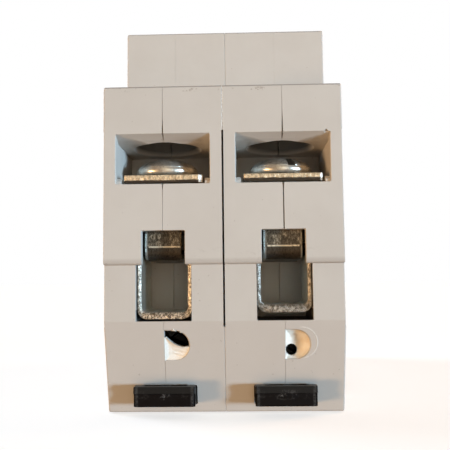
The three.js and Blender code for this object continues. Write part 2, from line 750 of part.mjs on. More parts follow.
function fixedContact(pole) {
  const shape = [
    [0.3, 18.2],
    [1.5, 18.2],
    [1.5, 24.8],
    [9, 24.8],
    [9, 26],
    [0.3, 26],
  ];
  const button = cylinder("y", [0, 23.1], 1.4, [-0.95, 0.5], 14);
  return piece(`fixed_contact_${pole}`, geometryOf(prismX(shape, [-2.5, 2.5]).add(button)), copper);
}

// Steel splitter plates held between two fibre cheeks.
function arcChute(pole) {
  const cheeks = [-1, 1].map((side) => {
    const span = [side * 5.4, side * 6.4].sort((a, b) => a - b);
    return box(span, CHUTE_Y, CHUTE_Z);
  });
  const pitch = (CHUTE_Y[1] - CHUTE_Y[0] - 2) / (CHUTE_PLATES - 1);
  const plates = Array.from({ length: CHUTE_PLATES }, (_, index) => {
    const y = CHUTE_Y[0] + 0.6 + index * pitch;
    return box([-5.5, 5.5], [y, y + 0.8], [CHUTE_Z[0] + 0.5, CHUTE_Z[1] - 0.5]);
  });
  return piece(`arc_chute_${pole}`, geometryOf(joined(...cheeks, ...plates)), fibre);
}

// ---- Assembly -------------------------------------------------------------------------------
function poleGroup(index) {
  const pole = index + 1;
  const poleSide = index === 0 ? -1 : 1;
  const group = new THREE.Group();
  group.position.x = (index - (POLES - 1) / 2) * POLE_PITCH;
  group.add(
    ...halfShells(pole, poleSide),
    terminal("load", pole, index * CAGE_RAISED),
    terminal("line", pole, 0),
    railClip(pole),
    calibrationScrew(pole),
    sealantPlug(pole),
    toggle(pole),
    toggleLink(pole),
    contactCarrier(pole),
    contactArm(pole),
    contactSpring(pole),
    latchLever(pole),
    tripLever(pole),
    bimetal(pole),
    coilWinding(pole),
    coilYoke(pole),
    plunger(pole),
    fixedContact(pole),
    arcChute(pole),
  );
  return group;
}

const breaker = new THREE.Group();
for (let index = 0; index < POLES; index += 1) breaker.add(poleGroup(index));
breaker.add(handleTie(), tripShaft(), ...RIVETS.map((place, index) => rivet(index, place)));

export default breaker;
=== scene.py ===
"""Two-pole miniature circuit breaker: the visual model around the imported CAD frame.

X runs across the poles, the load end faces -Y, and Z is the height above the rail side. Shapes are drawn in
millimetres, mostly about x = 0, and finished() moves each to its place and scales it to metres.
"""

from math import atan2, cos, pi, radians, sin, tan

import bmesh
import bpy
from mathutils import Matrix, Vector, noise


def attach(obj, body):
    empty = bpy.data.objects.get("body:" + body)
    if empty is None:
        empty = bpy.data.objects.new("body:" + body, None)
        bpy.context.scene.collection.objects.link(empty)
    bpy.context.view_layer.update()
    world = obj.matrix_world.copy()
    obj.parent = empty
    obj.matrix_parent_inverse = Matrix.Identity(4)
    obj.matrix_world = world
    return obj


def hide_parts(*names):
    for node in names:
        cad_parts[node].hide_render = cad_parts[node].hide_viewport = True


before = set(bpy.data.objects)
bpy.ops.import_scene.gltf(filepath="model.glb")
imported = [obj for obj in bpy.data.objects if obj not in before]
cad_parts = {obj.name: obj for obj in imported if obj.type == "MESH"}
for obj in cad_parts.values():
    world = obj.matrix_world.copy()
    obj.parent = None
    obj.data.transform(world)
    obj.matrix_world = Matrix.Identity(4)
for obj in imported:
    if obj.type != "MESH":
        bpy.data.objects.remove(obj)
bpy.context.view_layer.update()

MM = 0.001

# ---- Dimensions in millimetres, as in the CAD unless a comment says otherwise ----
HALF_POLE = 8.83
CENTRE_LINE = 8.87  # from the middle of the device to the middle of a pole
POLE_X = {1: -CENTRE_LINE, 2: CENTRE_LINE}
PARTING = 0.006  # half the gap between a pole's two shells, narrower than in the CAD
SIDE_BY_SIDE = 8.862  # the inner flanks, closer together than in the CAD
END = 42.5
SHOULDER_Z = 48.6
NOSE_Z = 64.5
HALF_NOSE = 22.5
WALL = 1.3
STEP_Z = 22.0
STEP_DEPTH = 0.88
SLOPE_TOP_Z = 13.75
SLOPE_DEPTH = 5.16
RELIEF_Z = (12.9, 41.8)
RAIL_Z = 4.6
RAIL_HALF = 17.85
SEAT_HALF = 15.6
CHANNEL_HALF, CHANNEL_Z = 4.65, (1.2, 4.2)
SLOT_HALF_X, SLOT_HALF_Y = 5.45, 10
WINDOW_HALF = 6.95
WINDOW_Z = (33.9, 41.4)
WINDOW_DEPTH = 14.4
CEILING_Z = 40.3
CEILING_RUN = 2.2
NARROW_HALF, NARROW_TOP_Z = 3.12, 27.0
CHAMBER_HALF, CHAMBER_DEPTH = 4.1, 15.4
SCREW_DEPTH = 6.8
WELL_R, WELL_MOUTH_R = 4.65, 5.35  # the wide lower part of the access hole, rounder than in the CAD
ACCESS_TOP_R = 3.3
ACCESS_STEP_Z = 45.6
HOLE_X, HOLE_Z, HOLE_R = 1.45, 10.2, 2.15  # the half-round calibration hole, from its pole's centre line
ADJUSTER_AT = (1.85, 10.2)
TOGGLE_PIVOT = (0.0, 54.0)
CONTACT_PIVOT = (-10, 34)
TRIP_PIVOT = (-18, 44.5)
PIN_R = 1.5
HANDLE_ANGLE = radians(54)
HANDLE_HALF = 5.2
TIE_REACH, TIE_R = 16.6, 1.1
# (y, z, radius) of the rivets through all four shells
RIVETS = [(-29, 6.1, 1.1), (29, 6.1, 1.1), (-26.3, 45, 1.4), (26.3, 45, 1.4), (-19.7, 60.4, 1.4), (19.7, 60.4, 1.4)]

# How each terminal differs: its screw's turn, its cage's lift and (sideways shift, bottom, floor), its strap's span,
# and the bevel at its plate's right end
TERMINALS = {
    ("load", 1): dict(turn=10, lift=0.0, cage=(0.08, 14.05, 15.05), strap=(-3.06, 2.5), bevel=0.6),
    ("load", 2): dict(turn=-71.5, lift=0.9, cage=(-0.04, 13.98, 15.18), strap=(-3.04, 2.86), bevel=0.3),
    ("line", 1): dict(turn=35, lift=0.0, cage=(0, 14.1, 15.0), strap=(-2.85, 2.85), bevel=0.3),
    ("line", 2): dict(turn=-25, lift=0.0, cage=(0, 14.1, 15.0), strap=(-2.85, 2.85), bevel=0.3),
}


# ---- Outlines ----
def arc(centre, radius, start, turn, steps):
    """Points of an arc, from the angle start through turn, both ends included."""
    angles = [start + turn * k / steps for k in range(steps + 1)]
    return [(centre[0] + radius * cos(a), centre[1] + radius * sin(a)) for a in angles]


def circle(centre, radius, sides=32):
    return arc(centre, radius, 0.0, 2 * pi, sides)[:-1]


def rectangle(u, v):
    return [(u[0], v[0]), (u[1], v[0]), (u[1], v[1]), (u[0], v[1])]


def sector(centre, inner, outer, middle, half, steps):
    outer_arc = arc(centre, outer, middle - half, 2 * half, steps)
    return outer_arc + arc(centre, inner, middle + half, -2 * half, steps)


def capsule(a, b, radius, steps):
    along = atan2(b[1] - a[1], b[0] - a[0])
    return arc(b, radius, along - pi / 2, pi, steps) + arc(a, radius, along + pi / 2, pi, steps)


def rounded(points, radius, steps=3):
    """A polygon with rounded corners. radius is one number or one for each corner."""
    radii = radius if isinstance(radius, (list, tuple)) else [radius] * len(points)
    made = []
    for index, at in enumerate(points):
        p = Vector(at)
        u = Vector(points[index - 1]) - p
        v = Vector(points[(index + 1) % len(points)]) - p
        r = radii[index]
        if r <= 0:
            made.append(tuple(p))
            continue
        room = 0.49 * min(u.length, v.length)
        u.normalize()
        v.normalize()
        half = u.angle(v) / 2
        reach = min(r / tan(half), room)
        r = reach * tan(half)
        centre = p + (u + v).normalized() * (r / sin(half))
        start = p + u * reach - centre
        turn = (pi - 2 * half) * (1 if u.cross(v) < 0 else -1)
        for k in range(steps + 1):
            c, s = cos(turn * k / steps), sin(turn * k / steps)
            made.append((centre.x + start.x * c - start.y * s, centre.y + start.x * s + start.y * c))
    return made


def cornered(corners, steps):
    """A rounded polygon from corners of (u, v, radius)."""
    return rounded([(u, v) for u, v, _ in corners], [r for _, _, r in corners], steps)


def grown(points, distance):
    """The polygon moved outwards by a distance, with mitred corners."""
    if abs(distance) < 1e-9:
        return list(points)
    area = sum(a[0] * b[1] - b[0] * a[1] for a, b in zip(points, points[1:] + points[:1]))
    way = 1 if area > 0 else -1
    made = []
    count = len(points)
    for index in range(count):
        a, b, c = Vector(points[index - 1]), Vector(points[index]), Vector(points[(index + 1) % count])
        n0 = Vector(((b - a).y, -(b - a).x)).normalized() * way
        n1 = Vector(((c - b).y, -(c - b).x)).normalized() * way
        both = n0 + n1
        made.append(tuple(b + both * (distance / max(0.3, both.dot(n0)))))
    return made


# ---- Solids ----
# Where a flat point p goes when its outline stands at t along an axis
AXES = {
    "x": lambda p, t: (t, p[0], p[1]),
    "y": lambda p, t: (p[0], t, p[1]),
    "z": lambda p, t: (p[0], p[1], t),
}


def placed(name, data):
    """A new object in the scene."""
    obj = bpy.data.objects.new(name, data)
    bpy.context.scene.collection.objects.link(obj)
    return obj


def loft(rings):
    """A closed solid through rings of equally many points."""
    count = len(rings[0])
    verts = [Vector(p) for ring in rings for p in ring]
    faces = []
    for index in range(len(rings) - 1):
        a, b = index * count, (index + 1) * count
        for k in range(count):
            n = (k + 1) % count
            faces.append((a + k, a + n, b + n, b + k))
    faces.append(tuple(range(count)))
    faces.append(tuple(range((len(rings) - 1) * count, len(rings) * count)))
    mesh = bpy.data.meshes.new("solid")
    mesh.from_pydata(verts, [], faces)
    work = bmesh.new()
    work.from_mesh(mesh)
    bmesh.ops.remove_doubles(work, verts=work.verts, dist=1e-5)
    bmesh.ops.recalc_face_normals(work, faces=work.faces)
    work.to_mesh(mesh)
    work.free()
    return placed("solid", mesh)


def end_rings(at, edge, way, steps):
    """(growth, place) pairs for one end of a prism, from its tip inwards."""
    if not edge:
        return [(0, at)]
    r = abs(edge)
    sign = -1 if edge > 0 else 1
    angles = [pi / 2 * k / steps for k in range(steps + 1)]
    rings = [(sign * (r * (1 - sin(a))), at + way * (r * (1 - cos(a)))) for a in angles]
    return rings if edge > 0 else [(r, at - way)] + rings


def prism(axis, outline, span, edges=(0, 0), steps=3):
    """An extruded outline. A positive edge rounds that end over, a negative one flares it."""
    rings = end_rings(span[0], edges[0], 1, steps) + end_rings(span[1], edges[1], -1, steps)[::-1]
    return loft([[AXES[axis](p, at) for p in grown(outline, out)] for out, at in rings])


def lathe(profile, axis="z", centre=(0, 0), sides=48):
    """A profile of (radius, height) turned about an axis."""
    return loft([[AXES[axis](p, h) for p in circle(centre, r, sides)] for r, h in profile])


def settle(obj):
    """Replaces the object's mesh by the one that its modifiers make."""
    bpy.context.view_layer.update()
    graph = bpy.context.evaluated_depsgraph_get()
    mesh = bpy.data.meshes.new_from_object(obj.evaluated_get(graph))
    obj.modifiers.clear()
    old = obj.data
    obj.data = mesh
    bpy.data.meshes.remove(old)
    return obj


def combine(base, others, how):
    for index, other in enumerate(others):
        step = base.modifiers.new(f"{how}_{index}", "BOOLEAN")
        step.operation = how
        step.solver = "MANIFOLD"
        step.object = other
        other.hide_render = True
    settle(base)
    for other in others:
        bpy.data.meshes.remove(other.data)  # its object goes with it
    return base


def cut(base, *tools):
    return combine(base, tools, "DIFFERENCE")


def join(base, *others):
    return combine(base, others, "UNION")


def move(obj, offset=(0, 0, 0), turn=0.0):
    obj.data.transform(Matrix.Translation(offset) @ Matrix.Rotation(radians(turn), 4, "Z"))
    return obj


def smooth(obj, angle):
    """Smooth shading with flat faces kept flat, and small slivers cleaned away."""
    work = bmesh.new()
    work.from_mesh(obj.data)
    bmesh.ops.remove_doubles(work, verts=work.verts, dist=0.002)
    bmesh.ops.dissolve_degenerate(work, edges=work.edges, dist=0.001)
    work.to_mesh(obj.data)
    work.free()
    for polygon in obj.data.polygons:
        polygon.use_smooth = True
    obj.data.set_sharp_from_angle(angle=radians(angle))
    weighted = obj.modifiers.new("weighted", "WEIGHTED_NORMAL")
    weighted.keep_sharp = True
    weighted.weight = 50
    return settle(obj)


def finished(obj, name, node, slot, material, body="housing", pole=None, turn=0.0, angle=32):
    """Names a piece, puts it in its place in metres, and ties it to the frame."""
    move(obj, (POLE_X.get(pole, 0), 0, 0), turn)
    smooth(obj, angle)
    obj.data.transform(Matrix.Scale(MM, 4))
    obj.name = name
    obj.data.name = name
    obj.data.materials.clear()
    obj.data.materials.append(material)
    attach(obj, body)
    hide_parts(node)


# ---- Materials ----
class Nodes:
    """A node tree that grows by one node a call. Inputs are numbers, colors, vectors or other nodes' outputs."""

    def __init__(self, tree):
        self.tree = tree

    def link(self, source, target):
        if isinstance(source, (int, float)):
            target.default_value = source
        elif isinstance(source, tuple):
            target.default_value = source if target.type == "VECTOR" else (*source, 1)
        else:
            self.tree.links.new(source, target)

    def fill(self, node, inputs):
        for key, value in inputs.items():
            self.link(value, node.inputs[key])
        return node

    def add(self, kind, inputs=None, **settings):
        node = self.tree.nodes.new("ShaderNode" + kind)
        for key, value in settings.items():
            setattr(node, key, value)
        return self.fill(node, inputs or {})


class Finish(Nodes):
    """A material in object space. Sizes and places are in millimetres, and methods return node outputs."""

    def __init__(self, name, color, roughness, metallic=0.0, specular=0.5):
        self.material = bpy.data.materials.new(name)
        self.material.use_nodes = True
        super().__init__(self.material.node_tree)
        plain = {"Base Color": color, "Roughness": roughness, "Metallic": metallic, "Specular IOR Level": specular}
        self.shader = self.fill(self.tree.nodes["Principled BSDF"], plain)
        self.place = self.add("TexCoord").outputs["Object"]

    def math(self, how, a, b=0.0):
        return self.add("Math", {0: a, 1: b}, operation=how).outputs[0]

    def plus(self, a, b):
        return self.math("ADD", a, b)

    def times(self, first, *others):
        for other in others:
            first = self.math("MULTIPLY", first, other)
        return first

    def most(self, a, b):
        return self.math("MAXIMUM", a, b)

    def away(self, value, centre=0.0):
        """How far a value is from a centre."""
        return self.math("ABSOLUTE", self.math("SUBTRACT", value, centre) if centre else value)

    def axes(self):
        """The three coordinates."""
        node = self.add("SeparateXYZ", {0: self.place})
        return [self.times(node.outputs[name], 1 / MM) for name in "XYZ"]

    def across(self, x):
        """How far a point is from the nearer pole's centre line."""
        return self.away(self.away(x), CENTRE_LINE)

    def stretched(self, x, y, z):
        return self.add("Mapping", {"Scale": (x, y, z), "Vector": self.place}).outputs[0]

    def noise(self, size, detail, rough, where=None, distortion=0.0):
        """Noise whose features are about `size` across, 0 to 1."""
        inputs = {"Vector": where or self.place, "Scale": 1 / (size * MM), "Detail": detail, "Roughness": rough}
        return self.add("TexNoise", {**inputs, "Distortion": distortion}).outputs["Fac"]

    def voronoi(self, size, feature="F1", where=None):
        inputs = {"Vector": where or self.place, "Scale": 1 / (size * MM)}
        return self.add("TexVoronoi", inputs, feature=feature).outputs["Distance"]

    def rise(self, value, low, high, to_low=0.0, to_high=1.0):
        """Maps low..high to a new range, clamped."""
        inputs = {"Value": value, "From Min": low, "From Max": high, "To Min": to_low, "To Max": to_high}
        return self.add("MapRange", inputs, clamp=True).outputs["Result"]

    def fall(self, value, low, high, top=1.0):
        return self.rise(value, low, high, top, 0.0)

    def band(self, value, low, high, soft):
        return self.times(self.rise(value, low - soft, low + soft), self.fall(value, high - soft, high + soft))

    def mix(self, share, a, b):
        """From color a at share 0 to color b at share 1."""
        return self.add("Mix", {"Factor": share, 6: a, 7: b}, data_type="RGBA").outputs[2]

    def coats(self, tone, *layers):
        """Lays colors over a tone in turn. Each layer is (share, color)."""
        for share, color in layers:
            tone = self.mix(share, tone, color)
        return tone

    def color(self, source):
        self.link(source, self.shader.inputs["Base Color"])

    def rough(self, source, low, high):
        self.link(self.rise(source, 0.3, 0.7, low, high), self.shader.inputs["Roughness"])

    def bumps(self, *layers):
        """Each layer is (height, depth)."""
        normal = None
        for height, depth in layers:
            node = self.add("Bump", {"Strength": 1.0, "Distance": depth * MM, "Height": height})
            if normal:
                self.link(normal, node.inputs["Normal"])
            normal = node.outputs["Normal"]
        self.link(normal, self.shader.inputs["Normal"])


NEARLY_BLACK = (0.012, 0.011, 0.010)


def behind_slope(f, y, z):
    """How far a point is behind the load end's slope."""
    lean = (SLOPE_DEPTH - STEP_DEPTH) / SLOPE_TOP_Z
    return f.plus(f.plus(y, END - SLOPE_DEPTH), f.times(z, lean))


def edge_coats(f, x, y, z, face):
    """Painted shade on the rounded lower edge above the step, on the top edges and on the slope, and chips, dirt,
    specks and moulding flash.
    """
    # Painted shade on the rounded lower edge above the step, which faces down.
    lower_edge_shade = f.times(f.rise(z, 22.55, 23.0, 0.5, 0.0), f.fall(y, -41.7, -41.6))
    # Painted shade darkens the rounded top edges of the shoulder and the nose.
    shoulder_edge_shade = f.times(f.rise(z, SHOULDER_Z - 0.32, SHOULDER_Z - 0.15), face)
    nose_edge_shade = f.times(f.rise(z, NOSE_Z - 0.28, NOSE_Z - 0.1), f.fall(y, -22.3, -22.1))
    # Painted shade: the slope below the step is darker and warmer, as it faces down.
    slope_shade = f.times(f.fall(z, 13.6, 13.8), f.fall(y, -36.0, -35.0))
    patches = f.times(f.rise(f.noise(2.6, 2, 0.5), 0.56, 0.62), face)
    chips = f.rise(f.noise(0.35, 3, 0.7, f.stretched(0.5, 1, 1)), 0.5, 0.58)
    chipped = f.times(f.band(z, 47.75, 48.2, 0.08), patches, chips)
    streaks = f.rise(f.noise(1.6, 4, 0.75, f.stretched(0.6, 1, 1.3)), 0.6, 0.72)
    dirt = f.times(f.band(z, 22.5, 24.2, 0.5), streaks)
    specks = f.rise(f.noise(0.5, 1, 0.4), 0.76, 0.8)
    wander = f.rise(f.noise(0.6, 2, 0.6), 0.3, 0.7, -0.09, 0.09)
    middle = f.fall(f.away(f.plus(x, wander)), 0.05, 0.12)
    ragged = f.times(face, f.rise(f.noise(0.5, 3, 0.7), 0.38, 0.52))
    flash = f.times(middle, f.band(z, 42.2, 48.4, 0.3), ragged)
    return (
        (lower_edge_shade, (0.42, 0.375, 0.335)),
        (f.times(f.most(shoulder_edge_shade, nose_edge_shade), 0.7), (0.20, 0.16, 0.145)),
        (f.times(slope_shade, 0.35), (0.53, 0.475, 0.43)),
        (f.times(chipped, 0.8), (0.24, 0.17, 0.12)),
        (f.times(dirt, 0.25), (0.28, 0.23, 0.19)),
        (f.times(specks, 0.35), (0.30, 0.24, 0.19)),
        (f.times(flash, 0.75), (0.90, 0.90, 0.88)),
    )


def smear_ring(f, x, z):
    """A thin ring of sealant on the face, to the right of pole 2's calibration hole."""
    across = f.math("SUBTRACT", x, 11.22)
    up = f.math("SUBTRACT", z, 10.45)
    distance = f.math("SQRT", f.plus(f.times(across, across), f.times(up, up)))
    right_part = f.times(f.band(distance, 2.22, 2.36, 0.07), f.rise(x, 10.6, 11.4))
    return f.times(right_part, f.rise(f.noise(0.9, 2, 0.6), 0.3, 0.5))


def hollow_shade_coats(f, y, z, across):
    """Painted shade: black in the calibration holes and in the pits under the cages, and dark in the wells above the
    screws.
    """
    depth = behind_slope(f, y, z)
    # Painted shade: black in the calibration holes and in the pits under the cages.
    hollow_shade = f.times(f.band(depth, 0.9, 9.0, 0.3), f.band(z, 7.9, 12.6, 0.1), f.fall(across, 3.9, 4.1))
    cage_pit_shade = f.times(f.band(depth, 0.9, 12.0, 0.5), f.band(z, 13.7, 15.4, 0.04), f.fall(across, 4.14, 4.2))
    hollow_shade = f.most(hollow_shade, f.times(cage_pit_shade, 0.92))
    # Painted shade: dark in the wells above the screws.
    well = f.times(f.rise(y, -41.2, -40.4), f.rise(z, 40.45, 41.0), f.fall(across, 5.6, 5.8))
    well = f.times(well, f.times(f.fall(y, -25.0, -24.5), f.fall(z, 47.6, 48.2)))
    return (hollow_shade, NEARLY_BLACK), (f.times(well, 0.85), (0.085, 0.09, 0.085))


def housing_finish():
    """Moulded grey-beige plastic with slight clouds, fine grain and scratches."""
    f = Finish("moulded_grey_plastic", (0.60, 0.565, 0.52), 0.5, specular=0.4)
    x, y, z = f.axes()
    face = f.fall(y, -42.3, -41.9)
    clouds = f.mix(f.rise(f.noise(9, 3, 0.6), 0.35, 0.65), (0.59, 0.553, 0.507), (0.618, 0.583, 0.538))
    smear = smear_ring(f, x, z)
    on_slope = f.rise(y, -37.0, -36.5, 0.5, 0.0)
    f.color(f.coats(
        clouds,
        *edge_coats(f, x, y, z, face),
        (f.times(smear, on_slope), (0.9, 0.88, 0.84)),
        *hollow_shade_coats(f, y, z, f.across(x)),
    ))
    f.rough(f.noise(3.0, 3, 0.6), 0.44, 0.56)
    scratch = f.rise(f.noise(0.4, 2, 0.5, f.stretched(0.25, 1, 1.6), 0.6), 0.70, 0.76)
    f.bumps((f.noise(0.16, 2, 0.6), 0.006), (f.noise(5.0, 2, 0.5), 0.02), (scratch, 0.008), (smear, 0.03))
    return f.material


def black_finish():
    """Black plastic with rubbed scuffs across the middle and rubbed ends. Painted sheen makes the lip above lighter
    than the face below, and its top lighter still; painted shade blacks the groove along the lip's top.
    """
    f = Finish("black_clip_plastic", (0.008, 0.007, 0.008), 0.45, specular=0.15)
    x, y, z = f.axes()
    across = f.across(x)
    rubbed = f.times(f.rise(f.noise(1.1, 4, 0.75), 0.5, 0.66), f.rise(f.noise(0.25, 2, 0.6), 0.42, 0.58))
    middle = f.times(f.band(z, 2.5, 3.6, 0.3), f.rise(across, 0.6, 1.8, 1.0, 0.25))
    ends = f.band(across, 3.85, 4.25, 0.05)
    # Painted sheen: the lip's front, above z 3.3, is lighter than the face below it.
    face = f.mix(f.rise(z, 3.2, 3.3), (0.0022, 0.0015, 0.0022), (0.013, 0.0125, 0.012))
    # Painted shade: black in the groove along the lip's top.
    groove = f.times(f.band(f.away(y), 38.8, 40.7, 0.03), f.band(z, 4.0, 4.32, 0.01))
    f.color(f.coats(
        face,
        # Painted sheen: the lip's top is lighter.
        (f.rise(z, 4.25, 4.33), (0.07, 0.067, 0.063)),
        (groove, (0.001, 0.001, 0.001)),
        (f.times(middle, rubbed), (0.12, 0.115, 0.11)),
        (f.times(ends, f.rise(f.noise(0.3, 3, 0.7), 0.38, 0.62, 0.1, 0.6)), (0.085, 0.085, 0.085)),
    ))
    f.rough(f.noise(0.8, 3, 0.6), 0.34, 0.55)
    f.bumps((f.noise(0.2, 2, 0.5), 0.012), (f.times(middle, f.noise(0.35, 3, 0.7)), 0.05))
    return f.material


def dark_finish():
    f = Finish("dark_toggle_plastic", (0.022, 0.024, 0.027), 0.45)
    f.color(f.mix(f.noise(4.0, 3, 0.6), (0.019, 0.021, 0.024), (0.030, 0.032, 0.035)))
    f.rough(f.noise(1.5, 3, 0.6), 0.38, 0.55)
    f.bumps((f.noise(0.18, 2, 0.5), 0.01))
    return f.material


def metal_finish(name, tone, shade, rough=(0.25, 0.45), depth=0.02, patch=0.9, grain=0.5):
    """Metal with patches of a second tone. patch and grain are the sizes of its patches and of its dull spots."""
    f = Finish(name, tone, 0.35, 1.0)
    f.color(f.mix(f.rise(f.noise(patch, 4, 0.7), 0.35, 0.7), tone, shade))
    f.rough(f.noise(grain, 3, 0.6), *rough)
    f.bumps((f.noise(0.3, 3, 0.6), depth))
    return f.material


def screw_finish():
    """Bright rim below, a greyer pitted dome above the crease."""
    f = Finish("screw_zinc", (0.60, 0.56, 0.49), 0.32, 0.82)
    _, _, z = f.axes()
    dome = f.rise(z, 36.8, 36.95)
    worn = f.noise(0.7, 4, 0.7, distortion=0.5)
    rim = f.mix(f.rise(worn, 0.4, 0.75), (0.84, 0.79, 0.70), (0.55, 0.50, 0.43))
    grey = f.mix(f.rise(worn, 0.35, 0.65), (0.46, 0.45, 0.42), (0.24, 0.23, 0.21))
    f.color(f.mix(dome, rim, grey))
    dullness = f.rise(f.noise(0.5, 3, 0.6), 0.3, 0.7, 0.26, 0.36)
    f.link(f.plus(dullness, f.times(dome, 0.14)), f.shader.inputs["Roughness"])
    f.bumps((f.noise(0.5, 3, 0.6), 0.02), (f.times(dome, f.voronoi(0.38, "SMOOTH_F1")), 0.06))
    return f.material


def plate_finish():
    """Bright plate with a torn, golden sheared edge over a dark burr. A painted highlight makes its right end near
    white.
    """
    f = Finish("clamp_plate_zinc", (0.62, 0.56, 0.47), 0.35, 0.45)
    x, y, z = f.axes()
    torn = f.noise(0.36, 4, 0.8, f.stretched(1, 1, 0.6))
    edge = f.rise(f.away(y), 41.4, 41.5)
    border = f.plus(z, f.times(f.noise(0.7, 2, 0.6), 0.3))
    border = f.math("SUBTRACT", border, f.rise(x, -1, 1, 0.0, 0.15))
    # Painted highlight: a near-white band at each plate's right end.
    ends = f.most(f.band(x, -3.62, -2.0, 0.04), f.band(x, 14.42, 16.0, 0.04))
    gold = f.mix(f.rise(torn, 0.38, 0.62), (1.0, 0.82, 0.57), (0.42, 0.31, 0.19))
    sheared = f.coats(
        gold,
        (f.fall(border, 34.66, 34.72), (0.095, 0.074, 0.053)),
        (ends, (0.95, 0.92, 0.86)),
    )
    f.color(f.mix(edge, (0.55, 0.51, 0.45), sheared))
    f.rough(torn, 0.3, 0.5)
    f.bumps((torn, 0.09), (f.noise(0.18, 2, 0.5), 0.03))
    return f.material


def strap_finish():
    """Tinned strap with scratches from wires above a ridge, which has a painted highlight."""
    f = Finish("strap_zinc", (0.34, 0.28, 0.22), 0.35, 0.6)
    x, _, z = f.axes()
    across = f.across(x)
    scratch = f.noise(0.26, 4, 0.8, f.stretched(1, 1, 0.5), 0.8)
    swept = f.rise(f.voronoi(1.0, "F1", f.stretched(1, 0.2, 0.8)), 0.40, 0.5)
    upper = f.rise(z, 24.75, 24.9)
    low = f.mix(f.rise(scratch, 0.42, 0.66), (0.045, 0.036, 0.027), (0.10, 0.082, 0.062))
    high = f.mix(f.rise(scratch, 0.48, 0.64), (0.13, 0.105, 0.075), (0.64, 0.54, 0.41))
    high = f.mix(f.times(swept, 0.6), high, (0.025, 0.02, 0.015))
    # Painted highlight: a near-white line along the ridge.
    ridge = f.times(f.band(z, 24.58, 24.82, 0.05), f.rise(f.noise(0.6, 3, 0.7), 0.35, 0.5, 0.4, 1.0))
    f.color(f.coats(
        f.mix(upper, low, high),
        (f.times(ridge, f.fall(across, 2.3, 2.45)), (1.0, 0.88, 0.70)),
        (f.rise(across, 2.52, 2.62), (0.30, 0.29, 0.27)),
    ))
    f.rough(scratch, 0.22, 0.45)
    f.bumps((scratch, 0.03), (f.times(upper, f.noise(0.25, 3, 0.6)), 0.02))
    return f.material


def cage_finish():
    """Zinc strip, smooth on its faces and torn on the cut edge in front. Painted shade makes the folded top dark."""
    f = Finish("cage_zinc", (0.72, 0.69, 0.62), 0.3, 0.95)
    x, y, z = f.axes()
    torn = f.noise(0.34, 4, 0.8)
    edge = f.rise(f.away(y), 40.70, 40.76)
    bright = f.mix(f.rise(x, 0, 2), (0.92, 0.86, 0.75), (0.52, 0.49, 0.44))
    cut_edge = f.mix(f.rise(torn, 0.42, 0.56), bright, (0.12, 0.10, 0.08))
    plain = f.mix(f.rise(f.noise(1.2, 3, 0.6), 0.35, 0.7), (0.80, 0.82, 0.77), (0.68, 0.70, 0.65))
    # Painted shade: the folded top is near black.
    top_shade = f.times(f.rise(z, 23.2, 23.5), f.fall(f.away(y), 38.9, 39.2))
    f.color(f.coats(plain, (top_shade, (0.03, 0.027, 0.024)), (edge, cut_edge)))
    f.rough(torn, 0.30, 0.46)
    f.bumps((f.times(edge, torn), 0.1), (f.noise(0.3, 2, 0.5), 0.01))
    return f.material


def sealant_finish():
    """White compound. In pole 2 its right part is painted tan as a shadow, and the round hole left in the plug is
    painted black as shade.
    """
    f = Finish("sealing_compound", (0.90, 0.86, 0.78), 0.42)
    x, y, z = f.axes()
    swirl = f.noise(0.7, 3, 0.6, f.stretched(1, 1, 2.2), 1.2)
    white = f.mix(f.rise(swirl, 0.35, 0.7), (0.97, 0.925, 0.85), (0.88, 0.82, 0.72))
    # Painted shadow: tan over the right part of pole 2's plug, where the light from the right is blocked.
    shadow_tan = f.mix(f.rise(f.noise(1.2, 2, 0.5), 0.35, 0.65), (0.84, 0.70, 0.52), (0.88, 0.77, 0.61))
    right_shadow = f.rise(f.plus(x, f.times(z, 0.15)), 11.75, 12.35)
    # Painted shade: black in the hole left in the plug.
    hollow_shade = f.rise(behind_slope(f, y, z), 1.75, 2.0)
    f.color(f.coats(white, (right_shadow, shadow_tan), (hollow_shade, NEARLY_BLACK)))
    f.rough(f.noise(0.7, 2, 0.5), 0.35, 0.5)
    f.bumps((swirl, 0.05))
    return f.material


def fibre_finish():
    f = Finish("pressed_fibre", (0.26, 0.24, 0.21), 0.8)
    f.color(f.mix(f.noise(0.8, 4, 0.7, f.stretched(1, 0.3, 1)), (0.22, 0.20, 0.17), (0.33, 0.30, 0.26)))
    f.rough(f.noise(0.6, 3, 0.6), 0.7, 0.9)
    f.bumps((f.noise(0.3, 3, 0.7, f.stretched(1, 0.3, 1)), 0.04))
    return f.material


HOUSING = housing_finish()
BLACK = black_finish()
DARK = dark_finish()
ZINC = metal_finish("zinc_steel", (0.56, 0.53, 0.47), (0.36, 0.33, 0.28))
OXIDE = metal_finish("blackened_steel", (0.012, 0.012, 0.012), (0.02, 0.019, 0.018), (0.4, 0.6))
SPRING = metal_finish("spring_steel", (0.42, 0.42, 0.42), (0.28, 0.28, 0.28), (0.2, 0.35), 0.008)
BIMETAL = metal_finish("bimetal_strip", (0.46, 0.40, 0.31), (0.36, 0.31, 0.25), (0.25, 0.4), 0.01)
COPPER = metal_finish("copper_alloy", (0.72, 0.36, 0.20), (0.45, 0.20, 0.11), depth=0.015, patch=1.5, grain=0.6)
SCREW = screw_finish()
PLATE = plate_finish()
STRAP = strap_finish()
CAGE = cage_finish()
SEALANT = sealant_finish()
FIBRE = fibre_finish()


# ---- Housing ----
def slope_y(z):
    """The load end's surface between the foot and the top of the slope."""
    foot = END - SLOPE_DEPTH
    return -(foot + (SLOPE_DEPTH - STEP_DEPTH) * z / SLOPE_TOP_Z)


